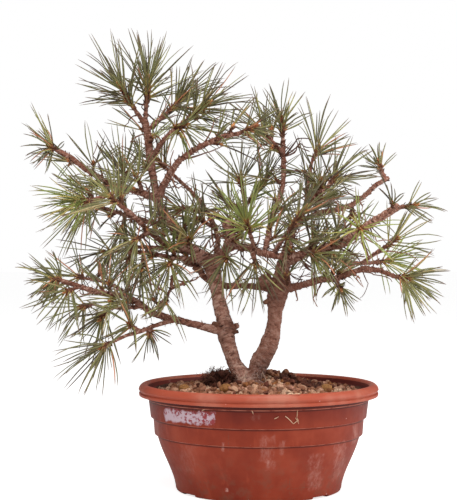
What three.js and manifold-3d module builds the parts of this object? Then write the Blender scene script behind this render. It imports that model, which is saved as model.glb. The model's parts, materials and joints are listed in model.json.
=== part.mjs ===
// A young bonsai pine with two trunks, growing in a round terracotta-coloured training pot.
//
// Millimetres, +Z up. The origin is the centre of the pot's flat foot, on the table. +X is to the
// right and +Y to the back when the tree is seen from its front.
//
// The tree's wood is one solid: roots, both trunks and every branch and twig. Each shoot of
// needles is a solid of its own, which starts just off the end of its twig.
import * as THREE from 'three';
import { mergeVertices } from 'three/addons/utils/BufferGeometryUtils.js';
import Module from 'manifold-3d';

const wasm = await Module();
wasm.setup();

// ---- Driving dimensions ---------------------------------------------------------------------

const CLEARANCE = 0.3; // between two pieces that touch

// Pot
const POT_HEIGHT = 123.5;
const RIM_RADIUS = 140; // the rolled rim at its widest
const RIM_WIDTH = 10.6; // across the roll, from its widest point in to the mouth
const RIM_OVERHANG = 11.2; // how far the rim stands out from the wall under it
const FOOT_RADIUS = 96.5;
const FOOT_ROUND = 3;
const WALL = 3;
const POT_FLOOR = 5;
const BAND_STEP = 3; // how far each of the two bands stands out from what is below it
const BAND_SLOPE = 1.5; // how much wider a band is at its top than at its bottom
const LOWER_BAND_BELOW_RIM = 58.8; // from the rim's crest down to the band's lower edge
const UPPER_BAND_BELOW_RIM = 39;
const RIM_DEPTH = 14; // height of the rolled rim
const DRAIN_COUNT = 7;
const DRAIN_RADIUS = 5.5;
const DRAIN_RING = 58; // radius of the ring that the drain holes stand on
const CHANNEL_WIDTH = 26; // the shallow channel from each drain hole out under the foot
const CHANNEL_DEPTH = 2.5;
const FIRST_CHANNEL_TURN = THREE.MathUtils.degToRad(-147); // seen from above, from +X

// Soil
const SOIL_BELOW_RIM = 8; // where the grit meets the wall
const MOUND_HEIGHT = 10; // the mound that the trunks stand on
const MOUND_RADIUS = 62;
const BACK_RISE = 9; // the higher heap behind the right trunk
const BACK_HEAP = { x: 12, y: 42, radius: 34 };
const GRAVEL_RIPPLE = 0.9;

// Tree
const TREE_HEIGHT = 418; // from the ground to the top of the needles
const CROWN_WIDTH = 490;
const CROWN_DEPTH = 300;
const TRUNK_GIRTH = 1; // all the wood's thickness, against the stems' own radii below
const TRUNK_FOOT = { x: -13, y: -5 };
const NEEDLE_LENGTH = 62;
const SHOOT_RADIUS = 2;
const SPUR_LENGTH = 3; // the least a twig stands out of its branch before its needles start
const ROOT_TO_WALL = 37; // from the end of a root to the pot's wall
const ROOT_DEPTH = 58;

// The stems below are laid out for a tree of this size.
const LAYOUT = { height: 418, width: 490, depth: 300 };
const BOWL_SIDES = 48; // flat sides round the pot and the soil in it
const RING_STEP = 20; // distance between the rings of a stem's skin
const SMOOTHING = 0.05; // the most that leaving out tiny facets may move a surface

// ---- Colours ----------------------------------------------------------------------------------

const FINISH = {
  terracotta: { color: '#b4583a', roughness: 0.62 },
  grit: { color: '#b9a488', roughness: 0.95 },
  bark: { color: '#8d7468', roughness: 0.9 },
  lava: { color: '#9a6b3c', roughness: 0.95 },
  moss: { color: '#4a3c2c', roughness: 0.95 },
  darkNeedles: { color: '#3f5038', roughness: 0.55 },
  brightNeedles: { color: '#7f9440', roughness: 0.5 },
};

// ---- Solids -----------------------------------------------------------------------------------

/** The corner points and the facets of a closed geometry, with each shared corner once. */
function facetsOf(geometry) {
  const bare = geometry.clone();
  bare.deleteAttribute('normal');
  bare.deleteAttribute('uv');
  const welded = mergeVertices(bare, 1e-4);
  const points = [...welded.attributes.position.array];
  const corners = welded.index.array;
  const facets = [];
  for (let i = 0; i < corners.length; i += 3) {
    const [a, b, c] = [corners[i], corners[i + 1], corners[i + 2]];
    if (a !== b && b !== c && c !== a) facets.push([a, b, c]);
  }
  return { points, facets };
}

/** The manifold solid inside a closed set of facets. */
function solidFrom({ points, facets }) {
  return new wasm.Manifold(new wasm.Mesh({
    numProp: 3,
    vertProperties: new Float32Array(points),
    triVerts: new Uint32Array(facets.flat()),
  }));
}

/** The manifold solid of a closed three.js geometry. */
function solidOf(geometry) {
  return solidFrom(facetsOf(geometry));
}

/** A named mesh of a finished solid. */
function meshOf(name, solid, finish) {
  const { vertProperties, triVerts } = solid.getMesh();
  const geometry = new THREE.BufferGeometry();
  geometry.setAttribute('position', new THREE.BufferAttribute(vertProperties, 3));
  geometry.setIndex(new THREE.BufferAttribute(triVerts, 1));
  const flat = geometry.toNonIndexed();
  flat.computeVertexNormals();
  const material = new THREE.MeshStandardMaterial({ metalness: 0, ...finish });
  const mesh = new THREE.Mesh(flat, material);
  mesh.name = name;
  return mesh;
}

/** Turns a profile of [radius, height] pairs, which starts and ends on the axis, about Z. */
function turned(profile, segments) {
  const points = profile.map(([radius, height]) => new THREE.Vector2(radius, height));
  return new THREE.LatheGeometry(points, segments).rotateX(Math.PI / 2);
}

/** A blunt cone from `root` along `direction`. */
function taper(root, direction, length, rootRadius, tipRadius) {
  const shape = new THREE.CylinderGeometry(tipRadius, rootRadius, length, 6);
  const upright = new THREE.Vector3(0, 1, 0);
  shape.translate(0, length / 2, 0);
  shape.applyQuaternion(new THREE.Quaternion().setFromUnitVectors(upright, direction));
  return solidOf(shape.translate(root.x, root.y, root.z));
}

/** The value of a list of evenly spaced numbers at a share of its length from 0 to 1. */
function along(values, share) {
  const place = share * (values.length - 1);
  const first = Math.min(Math.floor(place), values.length - 2);
  return THREE.MathUtils.lerp(values[first], values[first + 1], place - first);
}

/** The skin of a tapering round stem on a smooth path, `extra` fatter than its radii say. */
function stemSkin({ path, radii }, sides, steps, extra = 0) {
  const { normals, binormals } = path.computeFrenetFrames(steps, false);
  const skin = new THREE.CylinderGeometry(1, 1, 1, sides, steps);
  const at = skin.attributes.position;
  for (let i = 0; i < at.count; i++) {
    const ring = Math.round((at.getY(i) + 0.5) * steps);
    const radius = along(radii, ring / steps) + extra;
    const place = path.getPointAt(ring / steps)
      .addScaledVector(normals[ring], at.getX(i) * radius)
      .addScaledVector(binormals[ring], -at.getZ(i) * radius);
    at.setXYZ(i, place.x, place.y, place.z);
  }
  return skin;
}

/** A tapering round stem as a solid, with more flat sides the thicker it is. */
function stemSolid(stem, extra = 0) {
  const thickest = Math.max(...stem.radii);
  const sides = thickest > 9 ? 10 : thickest > 3.5 ? 6 : 5;
  const steps = Math.ceil(stem.path.getLength() / RING_STEP);
  return solidOf(stemSkin(stem, sides, steps, extra));
}

/** Several solids joined into one. */
function joined(solids) {
  return solids.reduce((all, solid) => all.add(solid));
}

/** True when two bounding boxes share space. */
function boxesMeet(a, b) {
  return [0, 1, 2].every((k) => a.min[k] <= b.max[k] && b.min[k] <= a.max[k]);
}

/** True when a solid runs into none of the others. */
function isFree(solid, others) {
  const box = solid.boundingBox();
  return others.every((other) => (
    !boxesMeet(box, other.boundingBox()) || solid.intersect(other).isEmpty()
  ));
}

// ---- Pot ----------------------------------------------------------------------------------------

const lowerBandZ = POT_HEIGHT - LOWER_BAND_BELOW_RIM;
const upperBandZ = POT_HEIGHT - UPPER_BAND_BELOW_RIM;
const rimUnderZ = POT_HEIGHT - RIM_DEPTH;
const mouthRadius = RIM_RADIUS - RIM_WIDTH;
const neckRadius = RIM_RADIUS - RIM_OVERHANG;
const upperBandRadius = neckRadius - 2 * BAND_SLOPE;
const lowerBandRadius = upperBandRadius - BAND_STEP - BAND_SLOPE;
const bodyRadius = lowerBandRadius - BAND_STEP;

/** The bowl's side from the foot to the lower band, as [radius, height] pairs, `inset` inwards. */
function bowlSide(bottom, inset) {
  const height = lowerBandZ - bottom;
  const side = new THREE.CubicBezierCurve(
    new THREE.Vector2(FOOT_RADIUS - inset, bottom),
    new THREE.Vector2(FOOT_RADIUS + 2 - inset, bottom + 0.32 * height),
    new THREE.Vector2(bodyRadius - 6 - inset, bottom + 0.6 * height),
    new THREE.Vector2(bodyRadius - inset, lowerBandZ),
  );
  return side.getPoints(6).map((point) => [point.x, point.y]);
}

/** The pot's inner face from the floor up to the mouth, `inset` inwards. */
function innerFace(floor, inset) {
  return [
    ...bowlSide(floor, WALL + inset),
    [lowerBandRadius + BAND_SLOPE - WALL - inset, upperBandZ],
    [neckRadius - WALL - inset, rimUnderZ],
  ];
}

function potSolid() {
  const rimMiddle = (mouthRadius + RIM_RADIUS) / 2;
  const outside = [
    [0, 0],
    [FOOT_RADIUS - FOOT_ROUND, 0],
    [FOOT_RADIUS - 0.3 * FOOT_ROUND, 0.3 * FOOT_ROUND],
    ...bowlSide(FOOT_ROUND, 0),
    [lowerBandRadius, lowerBandZ + 0.5],
    [lowerBandRadius + BAND_SLOPE, upperBandZ],
    [upperBandRadius, upperBandZ + 0.5],
    [neckRadius, rimUnderZ],
    [RIM_RADIUS - 1.4, rimUnderZ],
    [RIM_RADIUS, rimUnderZ + 4],
    [RIM_RADIUS - 1, POT_HEIGHT - 4],
    [RIM_RADIUS - 3, POT_HEIGHT - 1],
    [rimMiddle, POT_HEIGHT],
    [mouthRadius, POT_HEIGHT - 1],
  ];
  const inside = [...innerFace(POT_FLOOR, 0).reverse(), [0, POT_FLOOR]];
  let pot = solidOf(turned([...outside, ...inside], BOWL_SIDES));
  for (let i = 0; i < DRAIN_COUNT; i++) {
    const turn = FIRST_CHANNEL_TURN + (i * 2 * Math.PI) / DRAIN_COUNT;
    const hole = new THREE.CylinderGeometry(DRAIN_RADIUS, DRAIN_RADIUS, 4 * POT_FLOOR, 12)
      .rotateX(Math.PI / 2)
      .translate(DRAIN_RING, 0, 0)
      .rotateZ(turn);
    const channelLength = FOOT_RADIUS - DRAIN_RING + 20;
    const channel = new THREE.BoxGeometry(channelLength, CHANNEL_WIDTH, 2 * CHANNEL_DEPTH)
      .translate(DRAIN_RING + channelLength / 2, 0, 0)
      .rotateZ(turn);
    pot = pot.subtract(solidOf(hole)).subtract(solidOf(channel));
  }
  return pot;
}

// ---- Soil -----------------------------------------------------------------------------------------

const soilEdgeZ = POT_HEIGHT - SOIL_BELOW_RIM;

/** Height of the ground at a place. */
function groundHeight(x, y) {
  const fromTrunk = Math.hypot(x - TRUNK_FOOT.x, y - TRUNK_FOOT.y);
  const fromHeap = Math.hypot(x - BACK_HEAP.x, y - BACK_HEAP.y);
  const mound = MOUND_HEIGHT * Math.exp(-((fromTrunk / MOUND_RADIUS) ** 2));
  const heap = BACK_RISE * Math.exp(-((fromHeap / BACK_HEAP.radius) ** 2));
  const ripple = GRAVEL_RIPPLE * Math.sin(0.31 * x + 0.7) * Math.sin(0.27 * y + 0.4);
  return soilEdgeZ + mound + heap + ripple;
}

const FOOT = new THREE.Vector3(
  TRUNK_FOOT.x, TRUNK_FOOT.y, groundHeight(TRUNK_FOOT.x, TRUNK_FOOT.y),
);

function soilSolid(roots) {
  const bottom = POT_FLOOR + CLEARANCE;
  const side = innerFace(bottom, 1.5 * CLEARANCE);
  const [topRadius] = side.at(-1);
  const rings = 6;
  const top = [];
  for (let i = 0; i <= rings; i++) top.push([topRadius * (1 - i / rings), soilEdgeZ]);
  const shape = turned([[0, bottom], ...side, ...top], BOWL_SIDES);
  const at = shape.attributes.position;
  for (let i = 0; i < at.count; i++) {
    const isTop = at.getZ(i) > soilEdgeZ - CLEARANCE;
    if (isTop) at.setZ(i, groundHeight(at.getX(i), at.getY(i)));
  }
  return solidOf(shape).subtract(roots);
}

/** A lump that lies on the ground: a rough ball, cut from below by the ground and its roots. */
function lumpSolid({ x, y, size, squat, seed }, soil, roots) {
  const ball = new THREE.IcosahedronGeometry(size / 2, 1);
  const at = ball.attributes.position;
  for (let i = 0; i < at.count; i++) {
    const [px, py, pz] = [at.getX(i), at.getY(i), at.getZ(i)];
    const rough = 1 + 0.12 * Math.sin(0.55 * px + seed) * Math.cos(0.6 * py - 0.45 * pz + 2 * seed);
    at.setXYZ(i, px * rough, py * rough, pz * rough * squat);
  }
  ball.translate(x, y, groundHeight(x, y) + 0.25 * size * squat);
  return solidOf(ball).subtract(soil.translate([0, 0, CLEARANCE])).subtract(roots);
}

const LUMPS = {
  moss_clump: { x: -50, y: -12, size: 34, squat: 0.62, seed: 1, finish: FINISH.moss },
  lava_lump_front: { x: -38, y: -62, size: 14, squat: 0.8, seed: 2, finish: FINISH.lava },
  lava_lump_left: { x: -86, y: -34, size: 13, squat: 0.75, seed: 3, finish: FINISH.lava },
  lava_lump_right: { x: 78, y: -28, size: 13, squat: 0.85, seed: 4, finish: FINISH.lava },
};

// ---- Wood -----------------------------------------------------------------------------------------

/** A point of the tree's layout, taken from the trunks' foot to its place in the pot. */
function placed([x, y, z]) {
  return new THREE.Vector3(
    FOOT.x + (x * CROWN_WIDTH) / LAYOUT.width,
    FOOT.y + (y * CROWN_DEPTH) / LAYOUT.depth,
    FOOT.z + (z * TREE_HEIGHT) / LAYOUT.height,
  );
}

// Every stem: the places it grows through, from the trunks' foot, and its radii on the way.
const STEMS = {
  left_trunk: {
    through: [[0, 0, -13], [-9, 0, 7], [-19, 1, 33], [-25, 3, 56], [-31, 7, 85], [-37, 10, 111],
      [-41, 11, 136]],
    radii: [14, 11.8, 9.6, 8.8, 8.2, 7.9, 8.6],
  },
  right_trunk: {
    through: [[0, 0, -13], [10, -1, 10], [22, -3, 34], [29, -5, 54], [32, -7, 81], [35, -7, 104],
      [41, -5, 123], [41, -3, 141]],
    radii: [12, 9.4, 8.9, 9, 7.8, 10.6, 9, 6.8],
  },
  leader: {
    through: [[-41, 11, 136], [-57, 7, 147], [-72, 5, 157], [-83, 5, 177], [-102, 10, 201],
      [-108, 15, 223], [-113, 17, 253], [-117, 17, 284], [-120, 15, 304]],
    radii: [7.6, 6.4, 5.8, 5.2, 3.9, 3.6, 3.7, 3.2],
  },
  leader_right: {
    through: [[-105, 11, 211], [-95, 5, 234], [-78, -9, 257], [-51, -21, 273], [-29, -29, 282],
      [-11, -35, 285]],
    radii: [3.8, 3.2, 2.9, 2.3],
  },
  leader_fork: {
    through: [[-112, 17, 261], [-103, 13, 275], [-89, 7, 291]],
    radii: [2.7, 2.1],
  },
  upper_left: {
    through: [[-106, 12, 213], [-131, 23, 222], [-160, 35, 230], [-190, 45, 247], [-212, 51, 264],
      [-226, 53, 271]],
    radii: [4, 3.2, 2.9, 3],
  },
  green_left: { through: [[-146, 29, 226], [-161, 0, 217], [-176, -25, 211]], radii: [2.3, 1.9] },
  mid_left_back: {
    through: [[-86, 5, 183], [-108, 25, 184], [-137, 55, 192], [-173, 80, 203]],
    radii: [3, 2.1],
  },
  mid_left_front: {
    through: [[-64, 5, 152], [-95, -7, 159], [-114, -25, 174], [-129, -43, 191], [-143, -57, 202]],
    radii: [3.1, 2.2],
  },
  thin_left: {
    through: [[-57, 7, 147], [-98, 40, 154], [-133, 65, 156], [-157, 81, 151]],
    radii: [2.4, 1.8],
  },
  cut_left: {
    through: [[-46, 10, 140], [-84, -10, 143], [-112, -23, 148], [-136, -33, 151]],
    radii: [2.6, 2.2],
  },
  low_left: {
    through: [[-24, 3, 56], [-55, -3, 64], [-87, -11, 73], [-110, -15, 79], [-133, -21, 97],
      [-172, -27, 104], [-198, -34, 113], [-210, -38, 117]],
    radii: [4.8, 3.8, 3.5, 3.3, 2.8, 2.2],
  },
  low_left_front: {
    through: [[-83, -9, 71], [-103, -29, 67], [-122, -47, 60], [-141, -61, 55], [-151, -67, 50]],
    radii: [2.5, 1.8],
  },
  low_left_back: {
    through: [[-131, -19, 95], [-151, 5, 108], [-175, 29, 116], [-193, 45, 118]],
    radii: [2, 1.6],
  },
  low_left_side: {
    through: [[-121, -17, 87], [-144, 3, 85], [-168, 19, 84], [-183, 27, 88]],
    radii: [2, 1.6],
  },
  rising_twig: {
    through: [[-101, -13, 76], [-101, -25, 91], [-89, -35, 102], [-86, -45, 123]],
    radii: [2.1, 1.6],
  },
  rising_back: {
    through: [[-38, 11, 134], [-35, 35, 169], [-50, 51, 203], [-72, 61, 228], [-93, 67, 247]],
    radii: [3, 1.8],
  },
  cross_branch: {
    through: [[34, -3, 107], [13, 19, 109], [-8, 31, 110], [-30, 37, 110], [-49, 31, 117],
      [-60, 19, 136], [-74, 13, 138]],
    radii: [3.7, 3.1],
  },
  head_right: {
    through: [[-39, 11, 134], [-23, 5, 155], [1, -7, 155], [19, -21, 148], [48, -33, 145],
      [66, -41, 150]],
    radii: [4.4, 4, 3.6, 2.8],
  },
  head_stub: { through: [[-25, 5, 154], [-19, -5, 170], [-25, -11, 186]], radii: [5.2, 4.9] },
  right_reach: {
    through: [[41, -3, 136], [62, -15, 146], [81, -25, 154], [103, -35, 157], [122, -47, 171],
      [146, -55, 187], [169, -61, 202]],
    radii: [5, 4.7, 4.2],
  },
  right_rise: {
    through: [[41, -3, 136], [47, 11, 160], [58, 19, 183], [72, 23, 205], [96, 27, 227]],
    radii: [3.9, 3.1],
  },
  right_back: {
    through: [[58, 19, 183], [87, 35, 197], [118, 47, 203], [139, 55, 215], [156, 59, 231],
      [172, 61, 240]],
    radii: [3, 2.6],
  },
  right_twig: { through: [[70, 22, 203], [72, 35, 230], [78, 41, 258]], radii: [2.4, 1.8] },
  upright: {
    through: [[19, -21, 148], [25, 9, 169], [28, 25, 188], [42, 39, 224], [44, 43, 254],
      [43, 43, 284]],
    radii: [3.2, 2.4],
  },
  centre_back: {
    through: [[-23, 5, 153], [-8, 41, 174], [-2, 69, 204], [-5, 85, 226]],
    radii: [2.9, 1.9],
  },
  right_low: {
    through: [[36, -7, 106], [60, -19, 111], [80, -29, 118], [102, -41, 120], [122, -49, 129],
      [138, -55, 132], [163, -67, 123]],
    radii: [4.2, 3.6, 3, 2.2],
  },
  right_mid: {
    through: [[83, -26, 154], [99, -5, 143], [121, 13, 137], [146, 27, 137]],
    radii: [2.8, 1.9],
  },
  left_spur: { through: [[-27, 5, 62], [-41, -3, 65]], radii: [2.6, 2.2] },
  inner_spur: { through: [[-26, 4, 60], [-11, -4, 64]], radii: [2.6, 2.2] },
  right_spur: { through: [[34, -7, 112], [12, -14, 118]], radii: [4.6, 3.4] },
  twig_spur: { through: [[-88, -38, 108], [-72, -44, 115]], radii: [1.7, 1.3] },
};

for (const stem of Object.values(STEMS)) {
  stem.path = new THREE.CatmullRomCurve3(stem.through.map(placed), false, 'centripetal');
  stem.radii = stem.radii.map((radius) => radius * TRUNK_GIRTH);
}

/** The main roots, which run out from the trunks' foot and down towards the pot's wall. */
function rootStems() {
  const turns = [0.75, 1.9, 3.1, 4.3, 5.5];
  const ring = bodyRadius - WALL - ROOT_TO_WALL;
  return turns.map((turn) => {
    const through = [[0, -4], [0.28, -0.14 * ROOT_DEPTH], [0.62, -0.5 * ROOT_DEPTH], [1, -ROOT_DEPTH]]
      .map(([share, drop]) => new THREE.Vector3(
        THREE.MathUtils.lerp(FOOT.x, ring * Math.cos(turn), share),
        THREE.MathUtils.lerp(FOOT.y, ring * Math.sin(turn), share),
        FOOT.z + drop,
      ));
    const path = new THREE.CatmullRomCurve3(through, false, 'centripetal');
    return { path, radii: [8, 6, 4, 2].map((radius) => radius * TRUNK_GIRTH) };
  });
}

// Every shoot: the stem it grows from, the share of the stem's length where it leaves it, the
// place its tip reaches, the length of its needle-bearing part, its number of bundles, how far
// they droop and, where it isn't 1, how long they are against the tree's needle length.
const SHOOTS = {
  crown_left: { on: 'leader', at: 0.97, tip: [-151, 0, 346], bears: 34, bundles: 19,
    droop: 0.1, long: 0.92 },
  crown_top: { on: 'leader', at: 1, tip: [-117, 19, 357], bears: 30, bundles: 20, droop: 0, long: 1.06 },
  crown_right: { on: 'leader', at: 0.94, tip: [-74, 27, 334], bears: 26, bundles: 16,
    droop: 0, long: 0.85 },
  crown_far_right: { on: 'leader_fork', at: 1, tip: [-45, -19, 322], bears: 30, bundles: 16,
    droop: 0.1, long: 0.85 },
  crown_under: { on: 'leader_fork', at: 0.85, tip: [-69, -12, 298], bears: 16, bundles: 10, droop: 0.5 },
  reach_tip: { on: 'leader_right', at: 1, tip: [6, -41, 292], bears: 16, bundles: 12,
    droop: 0.4, long: 0.66 },
  back_tip: { on: 'rising_back', at: 1, tip: [-108, 73, 262], bears: 14, bundles: 10, droop: 0.2 },
  far_left: { on: 'upper_left', at: 1, tip: [-237, 57, 277], bears: 9, bundles: 13,
    droop: 0.7, long: 0.68 },
  upper_upright: { on: 'upper_left', at: 0.32, tip: [-148, 36, 252], bears: 14, bundles: 9, droop: -0.2 },
  upper_inner: { on: 'upper_left', at: 0.14, tip: [-129, -1, 239], bears: 12, bundles: 9, droop: 0 },
  bright_left: { on: 'green_left', at: 1, tip: [-190, -35, 208], bears: 16, bundles: 16,
    droop: 0.1, bright: true },
  lower_left: { on: 'green_left', at: 0.6, tip: [-200, 11, 198], bears: 18, bundles: 10, droop: 0.35 },
  mid_front: { on: 'mid_left_front', at: 1, tip: [-154, -68, 212], bears: 14, bundles: 11, droop: 0.1 },
  mid_back: { on: 'mid_left_back', at: 1, tip: [-189, 92, 208], bears: 14, bundles: 11, droop: 0.25 },
  mid_back_under: { on: 'mid_left_back', at: 0.72, tip: [-152, 72, 176], bears: 12, bundles: 9,
    droop: 0.5 },
  mid_front_under: { on: 'mid_left_front', at: 0.55, tip: [-130, -39, 161], bears: 12, bundles: 9,
    droop: 0.4 },
  thin_tip: { on: 'thin_left', at: 1, tip: [-177, 92, 150], bears: 16, bundles: 10, droop: 0.3 },
  thin_mid: { on: 'thin_left', at: 0.82, tip: [-142, 45, 138], bears: 12, bundles: 8, droop: 0.4 },
  cut_under: { on: 'cut_left', at: 0.82, tip: [-120, -41, 130], bears: 12, bundles: 10, droop: 0.5 },
  hanging_left: { on: 'cut_left', at: 0.45, tip: [-89, -50, 136], bears: 20, bundles: 12, droop: 0.8 },
  low_tip: { on: 'low_left', at: 1, tip: [-221, -43, 119], bears: 9, bundles: 13, droop: 0.6, long: 0.66 },
  low_under: { on: 'low_left', at: 0.9, tip: [-206, -53, 105], bears: 10, bundles: 9, droop: 0.5 },
  low_back: { on: 'low_left_back', at: 1, tip: [-203, 53, 121], bears: 12, bundles: 10, droop: 0.1 },
  low_side: { on: 'low_left_side', at: 1, tip: [-200, 39, 84], bears: 14, bundles: 10, droop: 0.3 },
  low_side_mid: { on: 'low_left_side', at: 0.66, tip: [-172, 1, 72], bears: 12, bundles: 8, droop: 0.4 },
  low_front: { on: 'low_left_front', at: 1, tip: [-160, -77, 46], bears: 14, bundles: 15, droop: 0.55 },
  low_front_mid: { on: 'low_left_front', at: 0.6, tip: [-134, -65, 70], bears: 10, bundles: 8, droop: 0.2 },
  low_front_under: { on: 'low_left_front', at: 0.42, tip: [-114, -18, 55], bears: 12, bundles: 9,
    droop: 0.4, long: 0.6 },
  leader_foot: { on: 'leader', at: 0.16, tip: [-68, -21, 167], bears: 16, bundles: 10, droop: 0 },
  back_side: { on: 'rising_back', at: 0.36, tip: [-58, 19, 190], bears: 14, bundles: 9, droop: 0 },
  back_left: { on: 'rising_back', at: 0.52, tip: [-87, 63, 204], bears: 18, bundles: 9, droop: 0.1 },
  head_front: { on: 'head_right', at: 0.2, tip: [-25, -33, 140], bears: 18, bundles: 12, droop: 0.3 },
  centre_left: { on: 'centre_back', at: 0.62, tip: [-24, 79, 210], bears: 12, bundles: 9, droop: 0 },
  centre_back_tip: { on: 'centre_back', at: 1, tip: [-8, 96, 242], bears: 13, bundles: 11, droop: 0 },
  centre_back_side: { on: 'centre_back', at: 0.78, tip: [27, 93, 243], bears: 22, bundles: 9, droop: 0 },
  centre_bright: { on: 'head_right', at: 0.5, tip: [-3, -58, 186], bears: 22, bundles: 16,
    droop: -0.1, bright: true },
  centre_candle: { on: 'head_right', at: 0.68, tip: [64, -47, 200], bears: 30, bundles: 15,
    droop: 0.1, long: 0.85 },
  head_under: { on: 'head_right', at: 0.44, tip: [10, -47, 134], bears: 14, bundles: 9, droop: 0.5 },
  head_tip: { on: 'head_right', at: 1, tip: [78, -52, 146], bears: 12, bundles: 9, droop: 0.3 },
  upright_top: { on: 'upright', at: 1, tip: [41, 43, 312], bears: 24, bundles: 13,
    droop: 0.15, long: 0.66 },
  upright_left: { on: 'upright', at: 0.9, tip: [13, 27, 300], bears: 18, bundles: 10, droop: 0.2 },
  twig_top: { on: 'right_twig', at: 1, tip: [86, 47, 277], bears: 16, bundles: 11, droop: 0 },
  rise_tip: { on: 'right_rise', at: 1, tip: [106, 29, 241], bears: 12, bundles: 11, droop: 0.1 },
  rise_side: { on: 'right_rise', at: 0.84, tip: [86, -3, 234], bears: 14, bundles: 8, droop: 0 },
  right_back_tip: { on: 'right_back', at: 0.96, tip: [160, 67, 260], bears: 14, bundles: 11,
    droop: 0.1, long: 0.5 },
  right_back_mid: { on: 'right_back', at: 0.58, tip: [128, 75, 192], bears: 14, bundles: 8, droop: 0.3 },
  reach_bright: { on: 'right_reach', at: 0.66, tip: [124, -79, 176], bears: 18, bundles: 12,
    droop: 0.1, bright: true },
  reach_twiglet: { on: 'right_reach', at: 0.96, tip: [186, -67, 203], bears: 12, bundles: 7,
    droop: 0, long: 0.6 },
  right_mid_tip: { on: 'right_mid', at: 1, tip: [172, 37, 140], bears: 18, bundles: 15,
    droop: 0.1, bright: true },
  right_mid_rise: { on: 'right_mid', at: 0.85, tip: [176, 9, 166], bears: 18, bundles: 9, droop: 0 },
  right_low_tip: { on: 'right_low', at: 1, tip: [177, -75, 121], bears: 14, bundles: 16,
    droop: 0.3, long: 0.86 },
  right_low_under: { on: 'right_low', at: 0.5, tip: [104, -63, 108], bears: 12, bundles: 9,
    droop: 0.4, long: 0.5 },
};

const UP = new THREE.Vector3(0, 0, 1);
const EAST = new THREE.Vector3(1, 0, 0);
const GOLDEN_TURN = Math.PI * (3 - Math.sqrt(5)); // between one bundle and the next
const CANDLE_SIDES = 5;
const CANDLE_STEP = 4.5; // length of one facet of a candle
const LOWEST_BUNDLE = 0.15; // share of the candle that stays bare at its foot
const BASE_LEAN = 1.3; // how far the lowest bundles lean from the candle, in radians
const TIP_LEAN = 0.25;
const LEAST_LIFT = 0.3; // the least that a drooping bundle still stands off its candle
const ROOM_RADIUS = 2.2; // the room that a bundle needs round its root
const SIBLING_START = 9; // how far out bundles of one shoot have parted
// Further turn and share of its length, in the order that a bundle tries them.
const TRIES = [[0, 1], [0.5, 1], [-0.5, 1], [1, 0.8], [-1, 0.8], [0, 0.6], [0, 0.4]];

/** Where a shoot's twig leaves its stem, which way it grows, and where its needles start. */
function shootSite({ on, at, tip, bears }) {
  const { path, radii } = STEMS[on];
  const from = path.getPointAt(at);
  const stemRadius = along(radii, at);
  const reach = placed(tip).sub(from);
  const twig = Math.max(reach.length() - bears, stemRadius + SPUR_LENGTH);
  const axis = reach.normalize();
  const radius = Math.min(SHOOT_RADIUS, stemRadius);
  return { from, axis, twig, bears, radius };
}

/** The twig that carries a shoot, as part of the wood. */
function twigSolid({ from, axis, twig, radius }) {
  const end = from.clone().addScaledVector(axis, twig);
  return stemSolid({ path: new THREE.LineCurve3(from, end), radii: [radius, radius] });
}

/** The candle of a shoot, which its bundles grow from, as a stem. */
function candleOf({ from, axis, twig, bears, radius }) {
  const base = from.clone().addScaledVector(axis, twig + CLEARANCE);
  const tip = base.clone().addScaledVector(axis, bears);
  return { path: new THREE.LineCurve3(base, tip), radii: [radius, radius, 0.35 * radius] };
}

/** A shoot: a candle with facets drawn out into needle bundles, which turn aside from others. */
function shootSolid(site, { bundles, droop, long = 1 }, neighbours) {
  const { axis, bears, radius } = site;
  const candle = candleOf(site);
  const base = candle.path.v1;
  const rings = Math.ceil(bears / CANDLE_STEP);
  const { points, facets } = facetsOf(stemSkin(candle, CANDLE_SIDES, rings));
  const corner = (k) => new THREE.Vector3().fromArray(points, 3 * k);
  const middleOf = (facet) => facet.reduce(
    (sum, k) => sum.addScaledVector(corner(k), 1 / 3), new THREE.Vector3(),
  );
  const side = new THREE.Vector3().crossVectors(axis, Math.abs(axis.z) < 0.9 ? UP : EAST).normalize();
  const across = new THREE.Vector3().crossVectors(axis, side);
  const siblings = [];
  const drawnOut = new Set();
  for (let i = 0; i < bundles; i++) {
    const share = THREE.MathUtils.lerp(LOWEST_BUNDLE, 1, i / bundles);
    const lean = THREE.MathUtils.lerp(BASE_LEAN, TIP_LEAN, share);
    const fullLength = NEEDLE_LENGTH * long * (0.88 + 0.12 * Math.sin(2.4 * i + bears));
    for (const [extraTurn, keep] of TRIES) {
      const turn = i * GOLDEN_TURN + extraTurn;
      const outward = side.clone().multiplyScalar(Math.cos(turn))
        .addScaledVector(across, Math.sin(turn));
      const wanted = base.clone().addScaledVector(axis, share * bears * 0.94)
        .addScaledVector(outward, radius);
      const [facet] = facets.filter((one) => !drawnOut.has(one))
        .sort((a, b) => middleOf(a).distanceTo(wanted) - middleOf(b).distanceTo(wanted));
      const root = middleOf(facet);
      const direction = axis.clone().multiplyScalar(Math.cos(lean))
        .addScaledVector(outward, Math.sin(lean))
        .addScaledVector(UP, -droop)
        .normalize();
      const lift = Math.max(0, LEAST_LIFT - direction.dot(outward));
      direction.addScaledVector(outward, lift).normalize();
      const length = fullLength * keep;
      const room = taper(root, direction, length + CLEARANCE, ROOM_RADIUS, 2 * CLEARANCE);
      const freeEnd = root.clone().addScaledVector(direction, SIBLING_START);
      const spread = taper(freeEnd, direction, length - SIBLING_START, ROOM_RADIUS, CLEARANCE);
      if (isFree(room, neighbours) && isFree(spread, siblings)) {
        const [a, b, c] = facet;
        const end = points.length / 3;
        points.push(...root.clone().addScaledVector(direction, length).toArray());
        facets.splice(facets.indexOf(facet), 1);
        const flanks = [[a, b, end], [b, c, end], [c, a, end]];
        flanks.forEach((flank) => drawnOut.add(flank));
        facets.push(...flanks);
        siblings.push(spread);
        break;
      }
    }
  }
  return solidFrom({ points, facets });
}

// ---- The tree in its pot ----------------------------------------------------------------------------

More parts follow.
